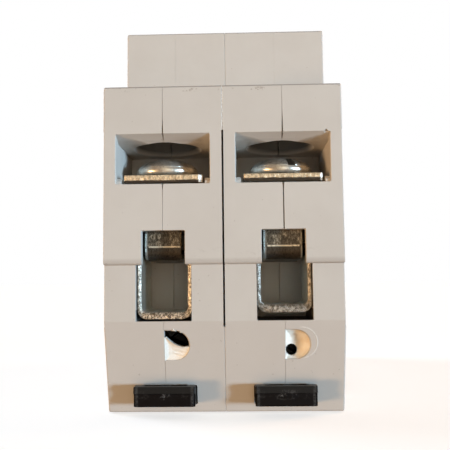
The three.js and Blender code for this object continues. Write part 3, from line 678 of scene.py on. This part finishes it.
def case_outline():
    foot = END - SLOPE_DEPTH
    back = END - STEP_DEPTH
    groove = RAIL_Z + 0.3
    hook, hook_z = RAIL_HALF - 1.6, (1.8, 3.4)
    upper = [
        (back, SLOPE_TOP_Z, 0.35), (back, STEP_Z, 0.05), (END, STEP_Z, 0.95), (END, SHOULDER_Z, 0.4),
        (HALF_NOSE, SHOULDER_Z, 0.3), (HALF_NOSE, NOSE_Z, 0.45),
    ]
    return cornered([
        (-foot, 0, 0.4), (-RAIL_HALF, 0, 0.4), (-RAIL_HALF, groove, 0.2), (-SEAT_HALF, groove, 0.1),
        (-SEAT_HALF, RAIL_Z, 0.1), (SEAT_HALF, RAIL_Z, 0.1), (SEAT_HALF, groove, 0.1), (RAIL_HALF, groove, 0.2),
        (RAIL_HALF, hook_z[1], 0.2), (hook, hook_z[1], 0.3), (hook, hook_z[0], 0.3), (RAIL_HALF, 0, 0.3),
        (foot, 0, 0.4), *upper, *[(-y, z, r) for y, z, r in reversed(upper)],
    ], 4)


def bay_outline():
    half = [(25.9, 6.0), (25.9, 42.0), (23.4, 42.0), (23.4, 47.2), (16.8, 47.2), (16.8, 63.2)]
    return half + [(-y, z) for y, z in reversed(half)]


def access_cutters(screw_y):
    """The access hole over a screw: a wide well below and a narrower bore above."""
    well = [
        (WELL_MOUTH_R + 0.03, CEILING_Z - 0.05), (WELL_MOUTH_R, CEILING_Z + 0.02), (4.7, CEILING_Z + 0.65),
        (WELL_R, CEILING_Z + 0.8), (WELL_R, ACCESS_STEP_Z - 0.2), (4.45, ACCESS_STEP_Z),
    ]
    lip = 0.35
    bore = [(ACCESS_TOP_R, ACCESS_STEP_Z - 0.5), (ACCESS_TOP_R, SHOULDER_Z - lip)]
    for angle in (30, 60, 90):
        a = radians(angle)
        bore.append((ACCESS_TOP_R + lip * (1 - cos(a)), SHOULDER_Z - lip + lip * sin(a)))
    bore.append((ACCESS_TOP_R + lip, SHOULDER_Z + 1))
    return [
        lathe(well, "z", (0, screw_y + 0.25), 48),
        lathe(bore, "z", (0, screw_y), 48),
        lathe([(3.0, 33.6), (3.0, 34.1)], "z", (0, screw_y), 32),
    ]


def terminal_cutters(narrow=(-NARROW_HALF, NARROW_HALF)):
    """The hollows of one terminal at the load end. narrow is the span of the opening's upper part."""
    face = -END
    window = [
        (face - 1, WINDOW_Z[0]), (face + WINDOW_DEPTH, WINDOW_Z[0]), (face + WINDOW_DEPTH, CEILING_Z),
        (face + CEILING_RUN, CEILING_Z), (face, WINDOW_Z[1]), (face - 1, WINDOW_Z[1]),
    ]
    across = (-WINDOW_HALF, WINDOW_HALF)
    wide = (-CHAMBER_HALF, CHAMBER_HALF)
    rim = rounded(rectangle(across, (WINDOW_Z[0], WINDOW_Z[1] - 0.3)), [0.3, 0.3, 0.1, 0.1], 3)
    upper = rounded(rectangle(narrow, (SLOPE_TOP_Z + 0.2, NARROW_TOP_Z)), [0, 0, 0.15, 0.15], 2)
    chamber = rounded(rectangle(wide, (SLOPE_TOP_Z, 33.85)), 0.2, 2)
    return [
        prism("x", window, across),
        prism("y", rim, (face, face + 0.5), (-0.14, 0)),
        *access_cutters(face + SCREW_DEPTH),
        prism("y", upper, (face, face + WALL + 0.1), (-0.08, 0)),
        prism("y", rectangle(wide, (SLOPE_TOP_Z, STEP_Z)), (face - 1, face + WALL + 0.1)),
        prism("y", chamber, (face + WALL, face + CHAMBER_DEPTH)),
        prism("y", rectangle((-3.12, 3.12), (22.66, 23.98)), (face + CHAMBER_DEPTH - 0.1, 0)),
    ]


def wedge(z0, half0, z1, half1, depth):
    """A tapering cut at a pole's centre line, in its load end's face."""
    return prism("y", [(-half0, z0), (half0, z0), (half1, z1), (-half1, z1)], (-END - 0.2, -END + depth))


def slope_seam(half, depth):
    """A groove down the slope at a pole's centre line."""
    z0, z1 = 4.3, SLOPE_TOP_Z + 0.1
    front = [(slope_y(z) - 0.3, z) for z in (z0, z1)]
    return prism("x", front + [(slope_y(z) + depth, z) for z in (z1, z0)], (-half, half))


def seam_cutters(pole):
    """Places where the joint between a pole's two halves opens up. The wedges are (z0, half0, z1, half1, depth)."""
    bottom, top = WINDOW_Z
    back = -END + WINDOW_DEPTH
    gap = (-0.06, 0.06)
    wedges, seam_half = {
        1: ((
            (top - 0.3, 0.12, top + 2.2, 0.035, 0.6), (top + 2.1, 0.035, top + 6.8, 0.02, 0.3),
            (bottom + 0.2, 0.16, bottom - 1.0, 0.03, 0.7), (bottom - 0.9, 0.03, 26.9, 0.022, 0.3),
            (top - 1.25, 0.06, top, 0.07, 1.5),
        ), 0.02),
        2: ((
            (top - 0.3, 0.13, top + 3.2, 0.03, 0.7), (top + 3.1, 0.03, top + 6.9, 0.016, 0.3),
            (bottom + 0.2, 0.16, bottom - 1.0, 0.08, 0.9), (bottom - 0.9, 0.08, 26.9, 0.09, 0.9),
            (top - 1.25, 0.09, top, 0.1, 1.5),
        ), 0.016),
    }[pole]
    return [
        prism("y", rectangle(gap, (bottom + 0.2, SHOULDER_Z - 1.2)), (back - 4.5, back + 0.6)),
        prism("y", rectangle(gap, (SLOPE_TOP_Z + 0.3, bottom - 0.3)), (-END + 15.0, -END + 15.9)),
        *[wedge(*numbers) for numbers in wedges],
        slope_seam(seam_half, 0.15),
    ]


def calibration_cutters():
    """The half-round hole in a right-hand shell, its flared mouth, and the bore for the screw."""
    half_round = arc((HOLE_X, HOLE_Z), HOLE_R, -pi / 2, pi, 16)
    outline = [(-0.5, HOLE_Z - HOLE_R)] + half_round + [(-0.5, HOLE_Z + HOLE_R)]
    hole = prism("y", outline, (-END, -END + 7))
    flare = ((0.2, -1.0), (0.2, -0.02), (0.12, 0.03), (0.05, 0.12), (0.0, 0.3))
    mouth = loft([[(x, slope_y(z) + behind, z) for x, z in grown(outline, out)] for out, behind in flare])
    bore = lathe([(1.6, -END + 6), (1.6, -24.9)], "y", ADJUSTER_AT, 24)
    return [hole, mouth, bore]


def window_ledges(side):
    """Low guides beside the clamp plate, with slanting tops, one at each end of a shell."""
    inner, outer = 6.2, WINDOW_HALF + 0.4
    front, back = END - 0.35, END - 9
    profile = [(front, 33.8), (back, 33.8), (back, 35.0), (END - 1.1, 34.85), (front, 34.3)]
    turned = [(-y, z) for y, z in reversed(profile)]
    span = sorted((side * inner, side * outer))
    edges = (0.12, 0) if side > 0 else (0, 0.12)
    return [prism("x", rounded(outline, 0.12, 2), span, edges, 2) for outline in (turned, profile)]


def half_shell(pole, hand):
    side = -1 if hand == "left" else 1
    inner = side != (-1 if pole == 1 else 1)
    flank, rounding = (SIDE_BY_SIDE, 0.1) if inner else (HALF_POLE, 0.28)
    seam_rounding = 0.012
    edges = (seam_rounding, rounding) if side > 0 else (rounding, seam_rounding)
    body = prism("x", case_outline(), sorted((side * PARTING, side * flank)), edges, 3)
    past = HALF_POLE + 1
    relief = sorted((side * (HALF_POLE - 0.1), side * past))
    slot = rounded(rectangle((-SLOT_HALF_X, SLOT_HALF_X), (-SLOT_HALF_Y, SLOT_HALF_Y)), 0.6, 4)
    channel = rounded(rectangle((-CHANNEL_HALF, CHANNEL_HALF), CHANNEL_Z), 0.25, 3)
    shaft = sorted((side * 5, side * (past if inner else HALF_POLE - WALL / 2)))
    sink = [(0.15, side * (HALF_POLE - 0.25)), (0.65, side * (HALF_POLE + 0.25))]
    tools = [
        prism("x", bay_outline(), (WALL - HALF_POLE, HALF_POLE - WALL)),
        prism("z", slot, (NOSE_Z - WALL - 0.1, NOSE_Z), (0, -0.3)),
        prism("y", channel, (-END - 1, -RAIL_HALF + 0.1)),
        prism("x", rectangle((-END - 1, END + 1), RELIEF_Z), relief),
        lathe([(PIN_R + 0.4, at) for at in shaft], "x", TRIP_PIVOT, 24),
        *[lathe([(r + 0.15, -past), (r + 0.15, past)], "x", (y, z), 24) for y, z, r in RIVETS],
        *[lathe([(r + wider, at) for wider, at in sink], "x", (y, z), 24) for y, z, r in RIVETS],
        *terminal_cutters((-3.12, 3.22) if pole == 1 else (-3.3, 3.12)),
        *[move(tool, turn=180) for tool in terminal_cutters()],
        *seam_cutters(pole),
    ]
    if side > 0:
        tools += calibration_cutters()
    if (pole, side) == (2, 1):
        # A chip is missing from the window's upper right corner.
        chip = [(6.1, 41.3), (6.35, 41.02), (6.7, 41.0), (6.86, 40.8), (7.08, 40.95), (7.05, 41.3)]
        chip += [(6.75, 41.38), (6.45, 41.72)]
        tools.append(prism("y", chip, (-END - 0.3, -END + 0.35)))
    cut(body, *tools)
    pin = [(PIN_R, side * (HALF_POLE - WALL / 2)), (PIN_R, side * PARTING)]
    pins = [lathe(pin, "x", at, 24) for at in (TOGGLE_PIVOT, CONTACT_PIVOT)]
    join(body, *pins, *window_ledges(side))
    name = f"{pole}_{hand}"
    finished(body, f"case_half_{name}", f"shell_{name}", "housing_plastic", HOUSING, pole=pole, angle=28)


# ---- Terminals, made at the load end of a pole and turned round for the line end ----
def threaded_shank():
    """A screw thread as a loft: the radius swings with the turn and the height, and tapers to the tip."""
    low, high = 24.35, 35.75
    pitch, depth, radius = 0.8, 0.32, 2.5
    per_turn, per_pitch = 36, 8
    levels = int((high - low) / pitch * per_pitch)
    rings = []
    for level in range(levels + 1):
        z = low + (high - low) * level / levels
        ring = []
        for k in range(per_turn):
            phase = (z / pitch - k / per_turn) % 1.0
            r = min(radius - depth * abs(2 * phase - 1), 2.0 + (z - low) * 0.8, radius)
            if z > 35.2:
                r = min(r, 2.3)
            ring.append((r * cos(2 * pi * k / per_turn), r * sin(2 * pi * k / per_turn), z))
        rings.append(ring)
    return loft(rings)


def screw_solid(turn):
    """Wide head with a bulging rim, a crease above it, a flattened dome and a combined recess."""
    profile = [
        (4.3, 35.7), (4.6, 35.76), (4.76, 35.92), (4.84, 36.15), (4.85, 36.4), (4.82, 36.58), (4.76, 36.72),
        (4.7, 36.79), (4.66, 36.82),
    ]
    crease, top, radius = 36.72, 38.5, 4.67
    for angle in (5, 9, 14, 20, 27, 34, 41, 48, 56, 64, 72, 80, 87):
        a = radians(angle)
        profile.append((radius * cos(a), crease + (top - crease) * sin(a)))
    head = lathe(profile, "z", (0, 0), 72)
    recess_z = (36.5, 39.0)
    cut(
        head,
        prism("z", rounded(rectangle((-4.7, 4.7), (-0.6, 0.6)), 0.15, 2), recess_z),
        prism("z", rounded(rectangle((-0.5, 0.5), (-3.7, 3.7)), 0.15, 2), recess_z),
    )
    join(head, threaded_shank())
    move(head, turn=turn)
    return move(head, (0, -END + SCREW_DEPTH, 0))


def jitter(at, size, amount, seed=0.0):
    return amount * noise.noise(Vector((at[0] / size + seed, at[1] / size - seed, at[2] / size + 3.7)))


def plate_solid(seed, bevel):
    """A sheared plate. Its front edge is torn above and has a dark burr along the bottom."""
    y0, y1 = -END + 0.6, -END + 12.6
    low, high = 34.15, 35.35
    half = 5.85
    count = 130
    rings = []
    for k in range(count + 1):
        x = -half + 2 * half * k / count
        shrink = max(0.55 * max(0.0, x - half + bevel), 0.25 * max(0.0, -x - 5.6) ** 2 / 0.0625)
        border = low + 0.36 + jitter((x, 0, 0), 0.8, 0.16, seed)
        tear = abs(jitter((x, 3, 0), 0.35, 0.10, seed))
        fine = abs(jitter((x, 5, 0), 0.22, 0.07, seed))
        burr = abs(jitter((x, 9, 0), 0.4, 0.12, seed))
        front, back = y0 + shrink, y1 - shrink
        # Up the front edge, and round the back
        ring = [
            (front + 0.12, low), (front + 0.02 + burr, low + 0.05), (front + 0.1 + burr, low + 0.14),
            (front + 0.2 + fine, border - 0.08), (front + 0.07 + fine, border + 0.03),
            (front + 0.05 + tear, border + 0.16), (front + 0.03 + fine * 0.8, border + 0.3),
            (front + 0.04 + tear * 0.7, high - 0.32), (front + 0.03 + fine * 0.5, high - 0.18),
            (front + 0.1, high - 0.06), (front + 0.28, high), (back - 0.1, high), (back, high - 0.1),
            (back, low + 0.1), (back - 0.1, low),
        ]
        rings.append([(x, y, z) for y, z in ring])
    return cut(loft(rings), lathe([(2.72, 33), (2.72, 36)], "z", (0, -END + SCREW_DEPTH), 40))


def rounded_u(half, low, high, radius, steps=8):
    left = arc((-half + radius, low + radius), radius, pi, pi / 2, steps)
    right = arc((half - radius, low + radius), radius, 1.5 * pi, pi / 2, steps)
    return [(-half, high)] + left + right + [(half, high)]


def cage_solid(shift, low, floor):
    """The strip's cut edges slant inwards, so each wall's edge faces the light from the other side."""
    y0, y1 = -END + 1.5, -END + 12.1
    half = 3.43
    outer = prism("y", rounded_u(3.97, low, 26.85, 1.35), (y0, y1), (0.05, 0.05), 2)
    hollow = rounded_u(half, floor, 24.3, 0.8)
    slants = ((0.72, y0 - 0.3), (0.42, y0), (0.0, y0 + 0.26), (0.0, y1 - 0.15), (0.2, y1 + 0.05))
    cut(
        outer,
        loft([[(x, y, z) for x, z in grown(hollow, out)] for out, y in slants]),
        prism("y", rectangle((-half, half), (23.3, 28)), (y0 - 1, -END + 4.1)),
        lathe([(2.72, 23), (2.72, 28)], "z", (0, -END + SCREW_DEPTH), 40),
    )
    return move(outer, (shift, 0, 0))


def strap_solid(span):
    """A strap bent upright, with one ridge across its front that bites into the wire."""
    front, back = -END + 2.5, -END + 18.2
    low, high, thick, bend = 22.7, 30.0, 1.2, 1.5
    centre = (front + bend, low + bend)
    ridge_z = 24.71
    ridge = [(0.0, 0.14), (0.07, 0.08), (0.07, -0.06), (0.0, -0.12)]
    profile = [(front + 0.1, high), (front, high - 0.1)]
    profile += [(front - out, ridge_z + up) for out, up in ridge]
    profile += arc(centre, bend, pi, pi / 2, 8) + [(back, low), (back, low + thick)]
    profile += arc(centre, bend - thick, 1.5 * pi, -pi / 2, 4) + [(front + thick, high)]
    return prism("x", profile, span, (0.4, 0.32), 5)


def terminal_pieces(end, pole):
    fit = TERMINALS[(end, pole)]
    place = dict(pole=pole, turn=0 if end == "load" else 180)
    seed = pole * 7.3 + (0 if end == "load" else 3.1)
    node = f"{end}_screw_{pole}"
    screw = screw_solid(fit["turn"])
    finished(screw, f"{end}_terminal_screw_{pole}", node, "zinc_steel", SCREW, body=node, angle=35, **place)
    node = f"{end}_clamp_plate_{pole}"
    plate = plate_solid(seed, fit["bevel"])
    finished(plate, f"{end}_pressure_plate_{pole}", node, "zinc_steel", PLATE, angle=40, **place)
    node = f"{end}_cage_{pole}"
    cage = move(cage_solid(*fit["cage"]), (0, 0, fit["lift"]))
    finished(cage, f"{end}_lift_cage_{pole}", node, "zinc_steel", CAGE, body=node, **place)
    strap = strap_solid(fit["strap"])
    finished(strap, f"{end}_conductor_{pole}", f"{end}_strap_{pole}", "zinc_steel", STRAP, **place)


# ---- Rail clips and calibration ----
def rail_clip_piece(pole):
    """The slider, with a lip to pull it by. A groove runs along the lip's top, and its face is set in below."""
    front, back, tip = -41.2, -RAIL_HALF - 0.4, -RAIL_HALF + 1.6
    outline = cornered([
        (front + 0.3, 1.35, 0.2), (-38.4, 1.35, 0.05), (-38.4, 1.45, 0.05), (back, 1.45, 0.1), (tip - 0.5, 1.7, 0.2),
        (tip, 2.5, 0.2), (tip, 3.3, 0.2), (back, 3.3, 0.2), (back, 4.0, 0.2), (-39.4, 4.0, 0.1), (-39.4, 4.35, 0.1),
        (front + 0.1, 4.35, 0.1), (front, 4.2, 0.08), (front, 3.3, 0.1), (front + 0.3, 3.2, 0.08),
    ], 3)
    body = prism("x", outline, (-4.5, 4.5), (0.16, 0.16), 3)
    groove = prism("x", rectangle((front + 0.55, -38.9), (4.05, 5.0)), (-3.1, 3.3), (0.1, 0.1), 2)
    cheeks = []
    for side in (-1, 1):
        cheek = rectangle(sorted((side * 4.22, side * 5.0)), (1.0, 3.25))
        cheeks.append(prism("y", cheek, (front - 1, front + 0.6)))
    cut(body, groove, *cheeks)
    node = f"rail_clip_{pole}"
    finished(body, f"rail_slider_{pole}", node, "black_plastic", BLACK, body=node, pole=pole)


# Each plug of sealant: the end of its outline, its middle, its depth at shares of the way out to its edge, and how
# strong its lumps and ridges are
PLUGS = {
    1: dict(
        top=[(3.3, 10.0), (2.6, 9.95), (1.9, 10.15), (1.2, 10.5), (0.6, 11.0), (0.0, 11.6)],
        corner=0.12,
        middle=(1.3, 9.1),
        depths=(
            (0.05, 0.42), (0.2, 0.41), (0.35, 0.39), (0.5, 0.36), (0.62, 0.32), (0.74, 0.27), (0.85, 0.2),
            (0.94, 0.12), (1.0, 0.05),
        ),
        lumps=0.1, ridges=0.07,
    ),
    2: dict(
        top=[(0.0, 12.47)],
        corner=0.1,
        middle=(1.6, 10.3),
        depths=(
            (0.05, 1.55), (0.3, 1.5), (0.5, 1.42), (0.65, 1.28), (0.78, 1.05), (0.87, 0.75), (0.93, 0.42),
            (0.97, 0.18), (1.0, 0.07),
        ),
        lumps=0.06, ridges=0.0,
    ),
}
PLUG_R = 2.27
PLUG_BACK = -36.3
RIDGE_PITCH = 0.62
FLAKE = [(1.1, 12.3), (1.75, 12.25), (1.55, 12.5), (1.4, 12.75), (1.28, 12.55)]
CRUMB = [(2.25, 12.05), (2.7, 12.0), (2.55, 12.2), (2.35, 12.22)]


def sealant_piece(pole):
    """Pole 1 has a swirled blob in the lower left of the hole, pole 2 a dished plug with a round hole left in it."""
    plug = PLUGS[pole]
    half_round = arc((HOLE_X, HOLE_Z), PLUG_R, -pi / 2, pi, 32)
    if pole == 1:
        half_round = half_round[:16]
    outline = rounded([(0.0, HOLE_Z - PLUG_R)] + half_round + plug["top"], plug["corner"], 2)
    u, v = plug["middle"]
    rings = []
    for share, depth in plug["depths"]:
        ring = []
        for edge_x, edge_z in outline:
            x, z = u + (edge_x - u) * share, v + (edge_z - v) * share
            lumps = jitter((x, z, pole), 0.6, plug["lumps"]) * (1.1 - share)
            swirl = sin(2 * pi * (z + 0.45 * x) / RIDGE_PITCH + 1.5 * sin(x * 1.7))
            ring.append((x, slope_y(z) + depth + lumps + plug["ridges"] * swirl * (1.15 - share), z))
        rings.append(ring)
    rings.append([(x, slope_y(z) + 0.25, z) for x, z in outline])
    rings.append([(x, PLUG_BACK, z) for x, z in grown(outline, -0.14)])
    blob = loft(rings)
    if pole == 1:
        for scrap in (FLAKE, CRUMB):
            front = [(x, slope_y(z) - 0.1, z) for x, z in grown(scrap, -0.04)]
            join(blob, loft([front, [(x, slope_y(z) + 0.25, z) for x, z in scrap]]))
    else:
        cut(blob, lathe([(1.05, -40.4), (0.95, -39.4), (0.85, -38.75), (0.8, -36.0)], "y", (0.98, 9.3), 32))
    finished(blob, f"seal_{pole}", f"sealant_plug_{pole}", "sealant", SEALANT, pole=pole, angle=70)


def calibration_piece(pole):
    front = -END + 6.6
    profile = [(1.2, front), (1.35, front + 0.05), (1.4, front + 0.2), (1.4, -23.4), (1.2, -23.2)]
    shank = lathe(profile, "y", ADJUSTER_AT, 32)
    cut(shank, prism("z", rectangle((0.2, 3.6), (-END + 6, -END + 7.4)), (9.9, 10.5)))
    finished(shank, f"adjuster_{pole}", f"calibration_screw_{pole}", "zinc_steel", OXIDE, pole=pole)


# ---- Toggles and rivets ----
def toward(distance, angle=HANDLE_ANGLE):
    """A point at a distance from the toggles' pivot."""
    return (TOGGLE_PIVOT[0] + distance * cos(angle), TOGGLE_PIVOT[1] + distance * sin(angle))


def toggle_piece(pole):
    span = (-HANDLE_HALF, HANDLE_HALF)
    drum = prism("x", sector(TOGGLE_PIVOT, 9.1, 10.6, HANDLE_ANGLE, pi / 2, 40), span, (0.25, 0.25), 3)
    spoke = prism("x", sector(TOGGLE_PIVOT, 2.0, 10.1, HANDLE_ANGLE, radians(24), 12), span, (0.25, 0.25), 3)
    hub = prism("x", circle(TOGGLE_PIVOT, 3), span, (0.2, 0.2), 2)
    bar = prism("x", capsule(toward(8.6), toward(18.0), 1.5, 10), (-4.2, 4.2), (0.6, 0.6), 4)
    crank_at = toward(5, HANDLE_ANGLE + pi)
    crank = prism("x", capsule(TOGGLE_PIVOT, crank_at, 1.7, 8), (-1.4, 1.4), (0.2, 0.2), 2)
    join(drum, spoke, hub, bar, crank)
    bores = ((PIN_R + 0.2, TOGGLE_PIVOT), (0.95, crank_at), (TIE_R + 0.1, toward(TIE_REACH)))
    cut(drum, *[lathe([(r, -7), (r, 7)], "x", at, 28) for r, at in bores])
    finished(drum, f"lever_{pole}", f"toggle_{pole}", "dark_plastic", DARK, body="handle", pole=pole)


def tie_piece():
    half = CENTRE_LINE + 4.8
    tip = [(TIE_R - 0.25, -half), (TIE_R - 0.08, -half + 0.05), (TIE_R, -half + 0.2)]
    rod = lathe(tip + [(r, -x) for r, x in reversed(tip)], "x", toward(TIE_REACH), 32)
    finished(rod, "tie_rod", "handle_tie", "zinc_steel", ZINC, body="handle")


def rivet_piece(index, y, z, r):
    """A shank with a dimpled, rolled-over head at each side of the device."""
    half = 17.65
    end = [(0.05, 0.8), (r * 0.42, 0.78), (r * 0.5, 0.6), (r * 0.56, 0.15), (r * 0.72, 0.0), (r * 0.9, 0.04)]
    end.append((r, 0.2))
    profile = [(a, -half + b) for a, b in end] + [(a, half - b) for a, b in reversed(end)]
    body = lathe(profile, "x", (y, z), 32)
    finished(body, f"tubular_rivet_{index}", f"rivet_{index}", "zinc_steel", ZINC)


for pole in (1, 2):
    for hand in ("left", "right"):
        half_shell(pole, hand)
    rail_clip_piece(pole)
    sealant_piece(pole)
    calibration_piece(pole)
    toggle_piece(pole)
for pole in (1, 2):
    for end in ("load", "line"):
        terminal_pieces(end, pole)
tie_piece()
for index, (y, z, r) in enumerate(RIVETS):
    rivet_piece(index + 1, y, z, r)

# The rest of the mechanism is the CAD's own, with better finishes.
FINISHES = {
    "toggle_link": SPRING, "contact_carrier": DARK, "contact_arm": COPPER, "contact_spring": SPRING,
    "latch_lever": ZINC, "trip_lever": DARK, "trip_shaft": ZINC, "bimetal": BIMETAL, "coil_winding": COPPER,
    "coil_yoke": ZINC, "plunger": ZINC, "fixed_contact": COPPER, "arc_chute": FIBRE,
}
for name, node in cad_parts.items():
    for start, material in FINISHES.items():
        if name.startswith(start):
            node.data.materials.clear()
            node.data.materials.append(material)

# ---- Floor and world ----
FLOOR_X, FLOOR_Y, FLOOR_Z = (-40, 40), (-20, 60), -0.0002
floor_mesh = bpy.data.meshes.new("floor")
floor_mesh.from_pydata([(x, y, FLOOR_Z) for x, y in rectangle(FLOOR_X, FLOOR_Y)], [], [(0, 1, 2, 3)])
floor = placed("floor", floor_mesh)
paper = Finish("pale_paper", (0.42, 0.42, 0.42), 1.0, specular=0.0)
paper.fill(paper.shader, {"Emission Color": (1, 1, 1), "Emission Strength": 0.72})
floor_mesh.materials.append(paper.material)
floor.visible_diffuse = False
floor.visible_glossy = False
floor.visible_shadow = False

# The background is white, and the object is lit by a dim glow that is warm on its left.
LEFT_GLOW, MIDDLE_GLOW, RIGHT_GLOW = (0.24, 0.14, 0.065), (0.09, 0.068, 0.05), (0.12, 0.10, 0.085)
world = bpy.data.worlds.new("studio")
bpy.context.scene.world = world
world.use_nodes = True
world.node_tree.nodes.clear()
sky = Nodes(world.node_tree)
split = sky.add("SeparateXYZ", {0: sky.add("TexCoord").outputs["Generated"]})
shift = sky.add("MapRange", {"Value": split.outputs["X"], "From Min": -1.0})
ramp = sky.add("ValToRGB", {"Fac": shift.outputs["Result"]})
ramp.color_ramp.elements.new(0.5)
for mark, color in zip(ramp.color_ramp.elements, (LEFT_GLOW, MIDDLE_GLOW, RIGHT_GLOW)):
    mark.color = (*color, 1)
dim = sky.add("Background", {"Color": ramp.outputs["Color"], "Strength": 1.0})
white = sky.add("Background", {"Color": (1, 1, 1), "Strength": 1.0})
seen = sky.add("LightPath").outputs["Is Camera Ray"]
pick = sky.add("MixShader", {0: seen, 1: dim.outputs[0], 2: white.outputs[0]})
sky.add("OutputWorld", {"Surface": pick.outputs[0]})

# ---- Lights ----
ALBEDO = (0.60, 0.565, 0.52)  # the housing's base color


def sun(name, azimuth, elevation, size, color, facing=None):
    """A distant light, with its azimuth to the viewer's right. color is its irradiance, or with facing, what the
    housing shines with when the light falls on it at an angle of that cosine."""
    if facing:
        color = [pi * value / a / facing for value, a in zip(color, ALBEDO)]
    light = bpy.data.lights.new(name, "SUN")
    strength = max(color)
    light.energy = strength
    light.color = [c / strength for c in color]
    light.angle = radians(size)
    lamp = placed(name, light)
    a, e = radians(azimuth), radians(elevation)
    source = Vector((sin(a) * cos(e), -cos(a) * cos(e), sin(e)))
    lamp.rotation_mode = "QUATERNION"
    lamp.rotation_quaternion = (-source).to_track_quat("-Z", "Y")


sun("cool_key", 57.5, 0.5, 9, (0.20, 0.272, 0.320), 0.537)
sun("warm_fill", -57, -8, 14, (0.172, 0.103, 0.050), 0.5393)
sun("front_high", 0, 28, 40, (0.028, 0.020, 0.010), 0.883)
sun("front_middle", 12, 5, 30, (0.050, 0.044, 0.034), 0.974)
sun("front_low", 6, -28, 40, (0.050, 0.032, 0.018), 0.878)
sun("overhead", 0, 90, 80, (0.45, 0.45, 0.43))
sun("rear_left", -112, 28, 30, (1.7, 2.0, 2.35))
sun("rear_right", 112, 28, 30, (1.75, 0.95, 0.4))

# ---- Camera, fitted to the straight edges of the load end ----
CAMERA_AT = (2.942, -137.655, 19.222)
camera_data = bpy.data.cameras.new("camera")
camera_data.lens = 52.42
camera_data.sensor_width = 36
camera_data.clip_start = 0.005
camera_data.clip_end = 100
camera = placed("camera", camera_data)
forward = Vector((-0.02798631, 0.99569887, 0.0883206)).normalized()
right = Vector((0.99952147, 0.02903903, -0.01065685)).normalized()
up = right.cross(forward).normalized()
rows = [(right[k], up[k], -forward[k], CAMERA_AT[k] * MM) for k in range(3)]
camera.matrix_world = Matrix((*rows, (0, 0, 0, 1)))
bpy.context.scene.camera = camera
bpy.context.scene.view_settings.view_transform = "Standard"
